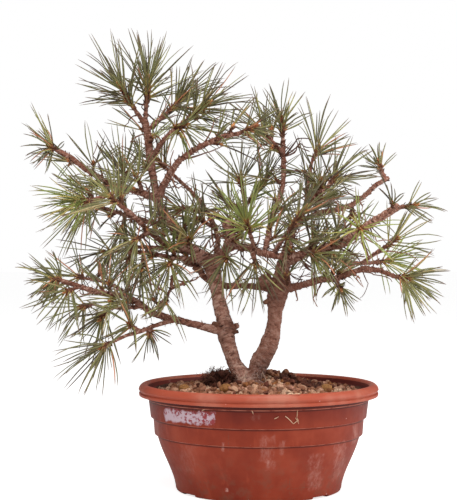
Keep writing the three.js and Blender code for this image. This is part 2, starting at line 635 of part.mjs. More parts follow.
const tree = new THREE.Group();
tree.name = 'bonsai_pine_in_pot';

const roots = rootStems();
const buried = [...roots, STEMS.left_trunk, STEMS.right_trunk];
const underground = joined(buried.map((stem) => stemSolid(stem, CLEARANCE)));

const sites = Object.fromEntries(
  Object.entries(SHOOTS).map(([name, shoot]) => [name, shootSite(shoot)]),
);
const wood = joined([
  ...[...roots, ...Object.values(STEMS)].map((stem) => stemSolid(stem)),
  ...Object.values(sites).map(twigSolid),
]).simplify(SMOOTHING);

const pot = potSolid();
const soil = soilSolid(underground);
tree.add(meshOf('pot', pot, FINISH.terracotta));
tree.add(meshOf('substrate', soil, FINISH.grit));
tree.add(meshOf('trunk_and_branches', wood, FINISH.bark));

const inTheWay = [pot, soil, wood];
for (const [name, { finish, ...lump }] of Object.entries(LUMPS)) {
  const solid = lumpSolid(lump, soil, underground);
  tree.add(meshOf(name, solid, finish));
  inTheWay.push(solid);
}
const candles = new Map(
  Object.entries(sites).map(([name, site]) => [name, stemSolid(candleOf(site))]),
);
for (const [name, shoot] of Object.entries(SHOOTS)) {
  candles.delete(name);
  const solid = shootSolid(sites[name], shoot, [...inTheWay, ...candles.values()]);
  const finish = shoot.bright ? FINISH.brightNeedles : FINISH.darkNeedles;
  tree.add(meshOf(`needles_${name}`, solid, finish));
  inTheWay.push(solid);
}

export default tree;
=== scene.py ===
"""A young bonsai pine in a round terracotta-coloured training pot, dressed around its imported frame.

Everything is in metres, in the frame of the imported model: +Z up, with the origin under the middle
of the pot's foot. Each CAD node is replaced by a finely modelled piece that keeps its place.
"""

import heapq
import json
import logging
import math
from collections.abc import Callable, Iterable, Sequence
from dataclasses import dataclass, field
from enum import Enum

import bpy
import numpy as np
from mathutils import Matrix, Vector, noise
from mathutils.bvhtree import BVHTree


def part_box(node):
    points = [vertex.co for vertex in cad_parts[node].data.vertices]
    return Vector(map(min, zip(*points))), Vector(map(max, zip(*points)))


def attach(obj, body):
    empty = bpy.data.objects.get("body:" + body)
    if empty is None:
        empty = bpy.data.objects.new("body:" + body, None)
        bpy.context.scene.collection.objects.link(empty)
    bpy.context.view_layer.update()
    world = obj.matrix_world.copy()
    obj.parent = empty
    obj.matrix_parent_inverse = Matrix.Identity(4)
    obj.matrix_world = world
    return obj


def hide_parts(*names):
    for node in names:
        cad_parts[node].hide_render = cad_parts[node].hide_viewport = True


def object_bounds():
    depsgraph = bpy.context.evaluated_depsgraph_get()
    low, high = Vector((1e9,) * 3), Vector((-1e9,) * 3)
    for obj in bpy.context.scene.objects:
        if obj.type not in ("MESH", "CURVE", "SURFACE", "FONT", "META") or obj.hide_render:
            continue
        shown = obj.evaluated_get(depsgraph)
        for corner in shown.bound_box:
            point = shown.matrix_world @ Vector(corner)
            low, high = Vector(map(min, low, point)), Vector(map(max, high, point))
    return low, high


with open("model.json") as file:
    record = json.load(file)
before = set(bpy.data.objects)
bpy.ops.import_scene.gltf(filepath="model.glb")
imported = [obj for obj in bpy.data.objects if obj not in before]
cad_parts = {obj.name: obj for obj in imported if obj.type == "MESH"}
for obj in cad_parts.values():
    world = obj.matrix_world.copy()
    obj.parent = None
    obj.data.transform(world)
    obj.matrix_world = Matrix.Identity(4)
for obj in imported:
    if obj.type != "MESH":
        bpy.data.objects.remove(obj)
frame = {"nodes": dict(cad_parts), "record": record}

LOG = logging.getLogger("bonsai")
MM = 0.001
CAD_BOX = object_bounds()

Colour = tuple[float, float, float]
Socket = bpy.types.NodeSocket


# ---- Working on meshes ------------------------------------------------------------------------


def deselect_all() -> None:
    """Leaves object mode with nothing selected."""
    if bpy.context.mode != "OBJECT":
        bpy.ops.object.mode_set(mode="OBJECT")
    bpy.ops.object.select_all(action="DESELECT")


def make_active(piece: bpy.types.Object) -> None:
    """Selects one object alone.

    Args:
        piece: the object to select and make active.
    """
    deselect_all()
    piece.select_set(True)
    bpy.context.view_layer.objects.active = piece


def start_edit(piece: bpy.types.Object, everything: bool = True) -> None:
    """Opens a mesh in edit mode.

    Args:
        piece: the mesh object.
        everything: True selects the whole mesh, False nothing.
    """
    make_active(piece)
    bpy.ops.object.mode_set(mode="EDIT")
    bpy.ops.mesh.select_all(action="SELECT" if everything else "DESELECT")


def end_edit() -> None:
    """Goes back to object mode."""
    bpy.ops.object.mode_set(mode="OBJECT")


def select_faces(piece: bpy.types.Object, wanted: Callable[[bpy.types.MeshPolygon], bool]) -> None:
    """Opens a mesh in edit mode with only some faces selected.

    Args:
        piece: the mesh object.
        wanted: says of a face whether it is selected.
    """
    start_edit(piece, everything=False)
    bpy.ops.mesh.select_mode(type="FACE")
    end_edit()
    for face in piece.data.polygons:
        face.select = wanted(face)
    bpy.ops.object.mode_set(mode="EDIT")


def apply_modifier(piece: bpy.types.Object, kind: str, **settings: object) -> None:
    """Adds a modifier and applies it.

    Args:
        piece: the mesh object.
        kind: the modifier's type, such as "REMESH".
        settings: values for the modifier's own properties.
    """
    make_active(piece)
    modifier = piece.modifiers.new(kind.title(), kind)
    for name, value in settings.items():
        setattr(modifier, name, value)
    bpy.ops.object.modifier_apply(modifier=modifier.name)


def points_of(mesh: bpy.types.Mesh) -> np.ndarray:
    """A mesh's points.

    Args:
        mesh: the mesh.

    Returns:
        One row for each point.
    """
    flat = np.empty(len(mesh.vertices) * 3, np.float32)
    mesh.vertices.foreach_get("co", flat)
    return flat.reshape(-1, 3).astype(float)


def normals_of(mesh: bpy.types.Mesh) -> np.ndarray:
    """The directions that a mesh's points face.

    Args:
        mesh: the mesh.

    Returns:
        One row for each point.
    """
    flat = np.empty(len(mesh.vertices) * 3, np.float32)
    mesh.vertex_normals.foreach_get("vector", flat)
    return flat.reshape(-1, 3).astype(float)


def edges_of(mesh: bpy.types.Mesh) -> np.ndarray:
    """A mesh's edges.

    Args:
        mesh: the mesh.

    Returns:
        The numbers of each edge's two points.
    """
    flat = np.empty(len(mesh.edges) * 2, np.int32)
    mesh.edges.foreach_get("vertices", flat)
    return flat.reshape(-1, 2)


def move_points(mesh: bpy.types.Mesh, points: np.ndarray) -> None:
    """Puts a mesh's points at new places."""
    mesh.vertices.foreach_set("co", points.astype(np.float32).ravel())
    mesh.update()


def set_attribute(mesh: bpy.types.Mesh, name: str, values: np.ndarray) -> None:
    """Stores one number for each point of a mesh, for its material to read.

    Args:
        mesh: the mesh.
        name: the attribute's name.
        values: one number for each point.
    """
    attribute = mesh.attributes.new(name, "FLOAT", "POINT")
    attribute.data.foreach_set("value", values.astype(np.float32))


def merged_copy(node: str, name: str) -> bpy.types.Object:
    """Copies a CAD node into a new object whose loose triangles are merged.

    Args:
        node: the CAD node's name.
        name: the new object's name.

    Returns:
        The new object, at the origin.
    """
    mesh = frame["nodes"][node].data.copy()
    mesh.name = name
    mesh.materials.clear()
    piece = bpy.data.objects.new(name, mesh)
    bpy.context.scene.collection.objects.link(piece)
    start_edit(piece)
    bpy.ops.mesh.remove_doubles(threshold=0.02 * MM)
    bpy.ops.mesh.normals_make_consistent(inside=False)
    end_edit()
    if mesh.has_custom_normals:
        bpy.ops.mesh.customdata_custom_splitnormals_clear()
    return piece


def tree_of(piece: bpy.types.Object) -> BVHTree:
    """A search tree over a mesh object's faces."""
    mesh = piece.data
    return BVHTree.FromPolygons(
        [tuple(v.co) for v in mesh.vertices], [tuple(p.vertices) for p in mesh.polygons]
    )


def rough_noise(points: np.ndarray, size: float, offset: float = 0.0) -> np.ndarray:
    """Smooth noise of about -1 to 1 at some places.

    Args:
        points: the places, one row each.
        size: the size of the noise's lumps, in the points' own unit.
        offset: a shift that gives a pattern of its own.

    Returns:
        One number for each place.
    """
    scaled = points / size + offset
    return np.array([noise.noise(Vector(p)) for p in scaled])


def unit(vectors: np.ndarray) -> np.ndarray:
    """Vectors of length one in the same directions."""
    length = np.linalg.norm(vectors, axis=-1, keepdims=True)
    return vectors / np.maximum(length, 1e-9)


def dress(
    piece: bpy.types.Object, replaced: Sequence[str] = (), smooth: float = 60
) -> None:
    """Finishes a piece: it is shaded smooth, rides with the model and stands for its nodes.

    Args:
        piece: the finished piece.
        replaced: the CAD nodes that it stands for.
        smooth: edges sharper than this, in degrees, stay sharp.
    """
    make_active(piece)
    bpy.ops.object.shade_smooth_by_angle(angle=math.radians(smooth))
    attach(piece, "root")
    if replaced:
        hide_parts(*replaced)
    LOG.info("%s: %d faces", piece.name, len(piece.data.polygons))


# ---- Repeated shapes --------------------------------------------------------------------------


@dataclass(frozen=True)
class Template:
    """A small shape of unit length along Z, modelled once and copied many times."""

    points: np.ndarray
    faces: np.ndarray

    @classmethod
    def of(cls, piece: bpy.types.Object) -> "Template":
        """Takes the shape of an object, with triangular faces, and removes the object.

        Args:
            piece: the object.

        Returns:
            Its shape.
        """
        start_edit(piece)
        bpy.ops.mesh.quads_convert_to_tris()
        end_edit()
        mesh = piece.data
        faces = np.array([tuple(face.vertices) for face in mesh.polygons], np.int32)
        template = cls(points_of(mesh), faces)
        bpy.data.objects.remove(piece)
        bpy.data.meshes.remove(mesh)
        return template


def stem_template(sides: int, profile: Sequence[tuple[float, float]]) -> Template:
    """A turned stem, extruded ring by ring from a disc.

    Args:
        sides: flat sides round the stem.
        profile: (height, radius) of each ring, from the foot up.

    Returns:
        The stem, closed at both ends.
    """
    deselect_all()
    (foot, radius), *rest = profile
    bpy.ops.mesh.primitive_circle_add(
        vertices=sides, radius=radius, fill_type="NGON", location=(0, 0, foot)
    )
    piece = bpy.context.object
    start_edit(piece)
    for height, width in rest:
        extrude_ring(height - foot, width / radius, height)
        foot, radius = height, width
    bpy.ops.mesh.select_all(action="SELECT")
    bpy.ops.mesh.normals_make_consistent(inside=False)
    end_edit()
    deselect_all()
    piece.select_set(True)
    bpy.ops.object.transform_apply(location=True, rotation=True, scale=True)
    return Template.of(piece)


def extrude_ring(rise: float, growth: float, height: float) -> None:
    """Extrudes the selected disc upwards and scales it about the Z axis.

    Args:
        rise: how far the disc moves up.
        growth: its new radius against the old.
        height: the height that the disc then has.
    """
    bpy.ops.mesh.extrude_region_move(TRANSFORM_OT_translate={"value": (0, 0, rise)})
    if abs(growth - 1) > 1e-6:
        bpy.ops.transform.resize(value=(growth, growth, 1), center_override=(0, 0, height))


def grain_template(seed: int, cuts: int = 5, levels: int = 2) -> Template:
    """A broken grain: a ball with flats cut off it.

    Args:
        seed: chooses where it is cut.
        cuts: how many flats it has.
        levels: how finely the ball is made.

    Returns:
        The grain, about one unit across.
    """
    random = np.random.default_rng(seed)
    deselect_all()
    bpy.ops.mesh.primitive_ico_sphere_add(subdivisions=levels, radius=0.55)
    piece = bpy.context.object
    for _ in range(cuts):
        normal = unit(random.normal(size=3))
        start_edit(piece)
        bpy.ops.mesh.bisect(
            plane_co=tuple(normal * random.uniform(0.3, 0.46)), plane_no=tuple(normal),
            use_fill=True, clear_outer=True,
        )
        end_edit()
    start_edit(piece)
    bpy.ops.mesh.remove_doubles(threshold=0.09)
    bpy.ops.mesh.normals_make_consistent(inside=False)
    end_edit()
    points = points_of(piece.data)
    points += unit(points) * 0.08 * rough_noise(points, 0.3, seed)[:, None]
    move_points(piece.data, points)
    return Template.of(piece)


class Copies:
    """Copies of templates, gathered into the mesh of one piece."""

    def __init__(self) -> None:
        """Starts with no copies."""
        self.points: list[np.ndarray] = []
        self.faces: list[np.ndarray] = []
        self.slots: list[np.ndarray] = []
        self.tints: list[np.ndarray] = []
        self.shares: list[np.ndarray] = []
        self.count = 0

    def add(self, template: Template, places: np.ndarray, tints: np.ndarray, slot: int = 0) -> None:
        """Adds copies of one template.

        Args:
            template: the shape.
            places: the points of each copy, as copies × points × 3.
            tints: a number from 0 to 1 for each copy, which its colour follows.
            slot: the material slot of its faces.
        """
        copies, points = places.shape[:2]
        starts = self.count + points * np.arange(copies)
        faces = template.faces[None, :, :] + starts[:, None, None]
        self.points.append(places.reshape(-1, 3))
        self.faces.append(faces.reshape(-1, 3))
        self.slots.append(np.full(copies * len(template.faces), slot))
        self.tints.append(np.repeat(tints, points))
        self.shares.append(np.tile(template.points[:, 2], copies))
        self.count += copies * points

    def build(self, name: str, materials: Sequence[bpy.types.Material]) -> bpy.types.Object:
        """Makes the piece.

        Args:
            name: the piece's name.
            materials: the materials of its slots.

        Returns:
            The new object, whose points carry "tint" and "share".
        """
        points = np.concatenate(self.points)
        faces = np.concatenate(self.faces)
        mesh = bpy.data.meshes.new(name)
        mesh.vertices.add(len(points))
        mesh.loops.add(3 * len(faces))
        mesh.polygons.add(len(faces))
        mesh.vertices.foreach_set("co", points.astype(np.float32).ravel())
        mesh.loops.foreach_set("vertex_index", faces.astype(np.int32).ravel())
        mesh.polygons.foreach_set("loop_start", np.arange(0, 3 * len(faces), 3, dtype=np.int32))
        mesh.update(calc_edges=True)
        for material in materials:
            mesh.materials.append(material)
        mesh.polygons.foreach_set("material_index", np.concatenate(self.slots).astype(np.int32))
        set_attribute(mesh, "tint", np.concatenate(self.tints))
        set_attribute(mesh, "share", np.concatenate(self.shares))
        mesh.validate()
        piece = bpy.data.objects.new(name, mesh)
        bpy.context.scene.collection.objects.link(piece)
        return piece


def bent(
    template: Template, roots: np.ndarray, controls: np.ndarray, tips: np.ndarray,
    widths: np.ndarray, turns: np.ndarray,
) -> np.ndarray:
    """Bends copies of a stem along curves.

    Args:
        template: a stem along Z, from 0 to 1.
        roots: where each copy starts.
        controls: the point that pulls each curve's middle aside.
        tips: where each copy ends.
        widths: the radius that a template radius of one becomes.
        turns: how far each copy is turned about itself, in radians.

    Returns:
        The copies' points, as copies × points × 3.
    """
    share = template.points[:, 2][None, :, None]
    a, b, c = roots[:, None], controls[:, None], tips[:, None]
    middle = (1 - share) ** 2 * a + 2 * share * (1 - share) * b + share**2 * c
    ahead = unit(2 * (1 - share) * (b - a) + 2 * share * (c - b))
    aside = np.cross(unit(tips - roots), [0.31, 0.17, 0.93])
    side = unit(np.cross(ahead, np.cross(aside[:, None], ahead)))
    up = np.cross(ahead, side)
    cosine, sine = np.cos(turns)[:, None, None], np.sin(turns)[:, None, None]
    first, second = side * cosine + up * sine, up * cosine - side * sine
    width = widths[:, None, None]
    x, y = template.points[:, 0][None, :, None], template.points[:, 1][None, :, None]
    return middle + width * (x * first + y * second)


def scattered(
    template: Template, places: np.ndarray, sizes: np.ndarray, random: np.random.Generator
) -> np.ndarray:
    """Copies of a lump, turned every way.

    Args:
        template: the lump, about one unit across.
        places: the middle of each copy.
        sizes: each copy's three sizes.
        random: where the turns come from.

    Returns:
        The copies' points, as copies × points × 3.
    """
    quaternions = unit(random.normal(size=(len(places), 4)))
    w, x, y, z = quaternions.T
    turns = np.array([
        [1 - 2 * (y * y + z * z), 2 * (x * y - z * w), 2 * (x * z + y * w)],
        [2 * (x * y + z * w), 1 - 2 * (x * x + z * z), 2 * (y * z - x * w)],
        [2 * (x * z - y * w), 2 * (y * z + x * w), 1 - 2 * (x * x + y * y)],
    ]).transpose(2, 0, 1)
    shaped = template.points[None] * sizes[:, None, :]
    return np.einsum("kij,kmj->kmi", turns, shaped) + places[:, None]


# ---- Materials --------------------------------------------------------------------------------


class Blend(Enum):
    """How one colour is laid over another."""

    MIX = "MIX"
    MULTIPLY = "MULTIPLY"


class Shade:
    """A material in the making, with a method for each kind of node that it uses."""

    def __init__(self, name: str, roughness: float = 0.7, specular: float = 0.5) -> None:
        """Starts a material.

        Args:
            name: the material's name.
            roughness: the surface's roughness.
            specular: how strongly it reflects.
        """
        self.material = bpy.data.materials.new(name)
        self.material.use_nodes = True
        self.tree = self.material.node_tree
        self.surface = self.tree.nodes["Principled BSDF"]
        self.surface.inputs["Roughness"].default_value = roughness
        self.surface.inputs["Specular IOR Level"].default_value = specular
        self.object_place = self.node("ShaderNodeTexCoord").outputs["Object"]

    def node(self, kind: str, **settings: object) -> bpy.types.Node:
        """Adds a node.

        Args:
            kind: the node's type.
            settings: values for its own properties.

        Returns:
            The node.
        """
        made = self.tree.nodes.new(kind)
        for name, value in settings.items():
            setattr(made, name, value)
        return made

    def feed(self, target: Socket, value: object) -> None:
        """Links a socket, or sets the target's own value when it is given a number or colour.

        Args:
            target: the socket that is fed.
            value: what it is fed with.
        """
        if isinstance(value, bpy.types.NodeSocket):
            self.tree.links.new(value, target)
        else:
            target.default_value = value

    def at(self, scale: Sequence[float]) -> Socket:
        """The place on the object, scaled.

        Args:
            scale: the scale along each axis.

        Returns:
            A vector.
        """
        mapping = self.node("ShaderNodeMapping", vector_type="POINT")
        self.feed(mapping.inputs["Vector"], self.object_place)
        mapping.inputs["Scale"].default_value = scale
        return mapping.outputs["Vector"]

    def noise(
        self, size: float, detail: float = 3, rough: float = 0.55, place: Socket | None = None
    ) -> Socket:
        """Cloudy noise.

        Args:
            size: the size of its lumps, in metres.
            detail: how many finer layers it has.
            rough: how strong the finer layers are.
            place: the vector it is read at, or None for the object's own place.

        Returns:
            A number from 0 to 1.
        """
        made = self.node("ShaderNodeTexNoise")
        self.feed(made.inputs["Vector"], place or self.object_place)
        made.inputs["Scale"].default_value = 1 / size
        made.inputs["Detail"].default_value = detail
        made.inputs["Roughness"].default_value = rough
        return made.outputs["Fac"]

    def cells(self, size: float) -> Socket:
        """A pattern of cells.

        Args:
            size: the cells' size, in metres.

        Returns:
            The distance from the middle of the nearest cell.
        """
        made = self.node("ShaderNodeTexVoronoi")
        self.feed(made.inputs["Vector"], self.object_place)
        made.inputs["Scale"].default_value = 1 / size
        return made.outputs["Distance"]

    def attribute(self, name: str) -> Socket:
        """One of the piece's own numbers."""
        return self.node("ShaderNodeAttribute", attribute_name=name).outputs["Fac"]

    def axis(self, name: str) -> Socket:
        """One coordinate of the place on the object.

        Args:
            name: "X", "Y" or "Z".

        Returns:
            A number, in metres.
        """
        split = self.node("ShaderNodeSeparateXYZ")
        self.feed(split.inputs["Vector"], self.object_place)
        return split.outputs[name]

    def math(self, operation: str, *values: object) -> Socket:
        """A sum of numbers.

        Args:
            operation: the node's operation, such as "MULTIPLY".
            values: sockets or numbers.

        Returns:
            A number.
        """
        made = self.node("ShaderNodeMath", operation=operation)
        for target, value in zip(made.inputs, values):
            self.feed(target, value)
        return made.outputs[0]

    def times(self, first: object, second: object) -> Socket:
        """The product of two numbers."""
        return self.math("MULTIPLY", first, second)

    def between(self, value: Socket, low: float, high: float) -> Socket:
        """A smooth step between two values.

        Args:
            value: the number that it follows.
            low: where it is 0.
            high: where it is 1; it may be below the other.

        Returns:
            A number from 0 to 1.
        """
        made = self.node("ShaderNodeMapRange", interpolation_type="SMOOTHSTEP")
        self.feed(made.inputs["Value"], value)
        made.inputs["From Min"].default_value = min(low, high)
        made.inputs["From Max"].default_value = max(low, high)
        made.inputs["To Min"].default_value = 0 if low < high else 1
        made.inputs["To Max"].default_value = 1 if low < high else 0
        return made.outputs["Result"]

    def ramp(self, value: Socket, stops: Iterable[tuple[float, Colour]]) -> Socket:
        """A colour that changes with a number.

        Args:
            value: the number.
            stops: (place from 0 to 1, colour) pairs.

        Returns:
            A colour.
        """
        made = self.node("ShaderNodeValToRGB")
        self.feed(made.inputs["Fac"], value)
        ramp = made.color_ramp
        while len(ramp.elements) > 1:
            ramp.elements.remove(ramp.elements[-1])
        for i, (place, colour) in enumerate(stops):
            stop = ramp.elements[0] if i == 0 else ramp.elements.new(place)
            stop.position = place
            stop.color = (*colour, 1)
        return made.outputs["Color"]

    def mix(self, share: object, under: object, over: object, blend: Blend = Blend.MIX) -> Socket:
        """Lays one colour over another.

        Args:
            share: how much of the upper colour shows.
            under: the lower colour.
            over: the upper colour.
            blend: how they mix.

        Returns:
            A colour.
        """
        made = self.node(
            "ShaderNodeMix", data_type="RGBA", blend_type=blend.value, clamp_factor=True
        )
        factor, lower, upper = (made.inputs[i] for i in (0, 6, 7))
        for target, value in ((factor, share), (lower, under), (upper, over)):
            self.feed(target, (*value, 1) if isinstance(value, tuple) else value)
        return made.outputs[2]

    def paint(self, colour: Socket) -> None:
        """Gives the surface its colour."""
        self.feed(self.surface.inputs["Base Color"], colour)

    def polish(self, roughness: Socket) -> None:
        """Gives the surface a roughness that changes over it."""
        self.feed(self.surface.inputs["Roughness"], roughness)

    def bump(self, *layers: tuple[Socket, float]) -> None:
        """Gives the surface fine relief.

        Args:
            layers: (height from 0 to 1, its depth in metres) pairs.
        """
        normal = None
        for height, depth in layers:
            made = self.node("ShaderNodeBump")
            made.inputs["Strength"].default_value = 1
            made.inputs["Distance"].default_value = depth
            self.feed(made.inputs["Height"], height)
            if normal is not None:
                self.feed(made.inputs["Normal"], normal)
            normal = made.outputs["Normal"]
        self.feed(self.surface.inputs["Normal"], normal)


@dataclass(frozen=True)
class Mark:
    """A mark on the front of the pot: its middle, its half sizes and how strongly it shows."""

    x: float
    z: float
    wide: float
    tall: float
    strength: float = 1.0

    @property
    def across(self) -> tuple[float, float]:
        """Its left and right edge."""
        return self.x - self.wide, self.x + self.wide

    @property
    def upright(self) -> tuple[float, float]:
        """Its lower and upper edge."""
        return self.z - self.tall, self.z + self.tall


@dataclass(frozen=True)
class PlasticFinish:
    """The pot's matt terracotta-coloured plastic, with scuffs, lime and the rest of a label."""

    body: Colour = (0.240, 0.027, 0.0075)
    deep: Colour = (0.190, 0.018, 0.005)
    faded: Colour = (0.315, 0.047, 0.018)
    rim: Colour = (0.43, 0.082, 0.042)
    # Painted shade under the rim's overhang.
    under_rim_shade: Colour = (0.66, 0.50, 0.44)
    # Painted shadow in the recess under the rim and just beneath each band's edge.
    shadow_tint: Colour = (0.42, 0.34, 0.32)
    # inside and shadow: the lining's colours, painted dark as the shade inside the bowl.
    inside: Colour = (0.15, 0.017, 0.009)
    shadow: Colour = (0.075, 0.009, 0.006)
    # edge: the rim's pinkish patches and the painted highlight along each band's edge.
    edge: Colour = (0.50, 0.17, 0.11)
    lime: Colour = (0.74, 0.47, 0.40)
    paper: Colour = (0.54, 0.42, 0.47)
    glue: Colour = (0.30, 0.045, 0.060)
    dirt: Colour = (0.16, 0.055, 0.032)
    label_x: tuple[float, float] = (-0.1075, -0.0485)
    label_z: tuple[float, float] = (0.0866, 0.1035)
    rim_foot: float = 0.1095
    edges: tuple[float, ...] = ()
    smears: tuple[Mark, ...] = (
        Mark(0.0065, 0.0620, 0.010, 0.017, 0.22), Mark(0.0610, 0.0330, 0.010, 0.024, 0.20),
        Mark(0.1080, 0.0700, 0.005, 0.012, 0.34), Mark(0.0120, 0.0440, 0.007, 0.008, 0.20),
        Mark(-0.0410, 0.0640, 0.0020, 0.006, 0.42), Mark(0.0230, 0.0640, 0.004, 0.009, 0.18),
        Mark(-0.0370, 0.0140, 0.0022, 0.003, 0.75), Mark(-0.1180, 0.0700, 0.007, 0.018, 0.20),
        Mark(-0.0060, 0.0980, 0.007, 0.004, 0.16), Mark(-0.0800, 0.0450, 0.012, 0.020, 0.10),
        Mark(0.0900, 0.0420, 0.010, 0.026, 0.24),
    )
    scratches: tuple[Mark, ...] = (
        Mark(0.032, 0.0195, 0.0006, 0.011), Mark(0.0915, 0.020, 0.0007, 0.005),
        Mark(0.046, 0.0155, 0.017, 0.0006), Mark(-0.035, 0.071, 0.0005, 0.012),
    )

    def box(self, shade: Shade, x: Sequence[float], z: Sequence[float], soft: float) -> Socket:
        """A soft-edged patch on the front of the pot.

        Args:
            shade: the material in the making.
            x: its left and right edge.
            z: its lower and upper edge.
            soft: how wide its edge is.

        Returns:
            1 inside the patch, 0 outside.
        """
        wobble = shade.math("MULTIPLY_ADD", shade.noise(0.006, 3), 2.4 * soft, -1.2 * soft)
        over = shade.math("ADD", shade.axis("X"), wobble)
        up = shade.math("ADD", shade.axis("Z"), wobble)
        sides, ends = (
            shade.times(
                shade.between(place, low, low + soft), shade.between(place, high, high - soft)
            )
            for place, (low, high) in ((over, x), (up, z))
        )
        front = shade.between(shade.axis("Y"), 0.0, -0.01)
        return shade.times(shade.times(sides, ends), front)

    def material(self) -> bpy.types.Material:
        """Makes the finish of the pot's outside.

        Returns:
            The material.
        """
        shade = Shade("terracotta_plastic", 0.5, 0.22)
        up = shade.axis("Z")
        cloud = shade.noise(0.045, 4)
        colour = shade.ramp(cloud, [(0.3, self.deep), (0.5, self.body), (0.72, self.faded)])
        streak = shade.noise(0.012, 4, 0.6, shade.at((1, 1, 0.22)))
        colour = shade.mix(shade.between(streak, 0.55, 0.8), colour, self.faded)
        # Painted shade: the wall under the rim's overhang is darkened, most just below the rim.
        below = shade.between(up, self.rim_foot - 0.032, self.rim_foot - 0.003)
        below = shade.times(below, 0.9)
        colour = shade.mix(below, colour, self.under_rim_shade, Blend.MULTIPLY)
        # Painted shadow: the recess just under the rim is darkened.
        shadow_tint = shade.times(
            shade.between(up, self.rim_foot - 0.0038, self.rim_foot - 0.0026),
            shade.between(up, self.rim_foot + 0.0002, self.rim_foot),
        )
        colour = shade.mix(shadow_tint, colour, self.shadow_tint, Blend.MULTIPLY)
        # The rim is painted lighter and pinker than the body: partly sun-faded plastic, partly
        # painted light from above.
        rim = shade.between(up, self.rim_foot - 0.0005, self.rim_foot + 0.0005)
        rim_colour = shade.mix(shade.between(cloud, 0.4, 0.7), self.rim, self.edge)
        colour = shade.mix(shade.times(rim, 0.85), colour, rim_colour)
        blots = shade.between(shade.noise(0.011, 4, 0.65), 0.46, 0.66)
        low = shade.times(shade.between(up, 0.075, 0.0), blots)
        colour = shade.mix(shade.times(low, 0.5), colour, self.dirt)
        chalky = shade.between(shade.noise(0.006, 6, 0.78, shade.at((1, 1, 0.4))), 0.34, 0.72)
        for mark in self.smears:
            patch = self.box(shade, mark.across, mark.upright, 0.6 * mark.wide)
            smear = shade.times(patch, chalky)
            colour = shade.mix(shade.times(smear, mark.strength), colour, self.lime)
        specks = shade.between(shade.cells(0.011), 0.085, 0.05)
        sparse = shade.between(shade.noise(0.03, 2), 0.56, 0.66)
        colour = shade.mix(shade.times(specks, sparse), colour, self.lime)
        for mark in self.scratches:
            line = self.box(shade, mark.across, mark.upright, 0.0006)
            broken = shade.between(shade.noise(0.0025, 2), 0.42, 0.55)
            colour = shade.mix(shade.times(line, broken), colour, self.dirt)
        # Painted highlight: a pale line along each band's edge, broken up by noise.
        edge_highlight_breaks = shade.between(shade.noise(0.009, 3), 0.3, 0.6)
        for height in self.edges:
            near = shade.math("ABSOLUTE", shade.math("SUBTRACT", shade.axis("Z"), height))
            line = shade.times(shade.between(near, 0.0007, 0.0003), edge_highlight_breaks)
            # Painted shadow: a dark line just beneath the band's edge.
            low = shade.math("ABSOLUTE", shade.math("SUBTRACT", up, height - 0.0013))
            colour = shade.mix(shade.between(low, 0.0010, 0.0004), colour, self.shadow_tint, Blend.MULTIPLY)
            colour = shade.mix(shade.times(line, 0.75), colour, self.edge)
        label = self.box(shade, self.label_x, self.label_z, 0.0035)
        colour = shade.mix(shade.times(label, 0.7), colour, self.glue)
        across = shade.math("MULTIPLY_ADD", shade.axis("X"), 3.2, 0.25)
        upper = shade.math("MULTIPLY_ADD", up, -9.0, 0.86)
        bias = shade.math("MINIMUM", shade.times(across, -1), upper)
        torn = shade.math("ADD", shade.noise(0.0055, 5, 0.72), bias)
        flakes = shade.times(label, shade.between(torn, 0.42, 0.47))
        colour = shade.mix(shade.times(flakes, 0.9), colour, self.paper)
        shade.paint(colour)
        worn = shade.noise(0.007, 5, 0.65)
        gloss = shade.math("MULTIPLY_ADD", worn, 0.3, 0.34)
        shade.polish(shade.math("MAXIMUM", gloss, shade.times(flakes, 0.85)))
        shade.bump((shade.noise(0.0009, 2), 0.00006), (streak, 0.0002), (flakes, 0.00012))
        return shade.material

    def lining(self) -> bpy.types.Material:
        """Makes the pot's inside, painted darker as shade in the bowl, with fine lines round it.

        Returns:
            The material.
        """
        shade = Shade("terracotta_lining", 0.6, 0.25)
        lines = shade.noise(0.004, 4, 0.6, shade.at((0.04, 0.04, 1)))
        # Painted shade: the lining's dark colours stand for the shade inside the bowl.
        colour = shade.ramp(lines, [(0.3, self.shadow), (0.6, self.inside), (0.8, self.deep)])
        chalk = shade.between(shade.noise(0.01, 5, 0.7, shade.at((1, 1, 0.3))), 0.62, 0.8)
        shade.paint(shade.mix(shade.times(chalk, 0.3), colour, self.lime))
        shade.bump((lines, 0.0003))
        return shade.material


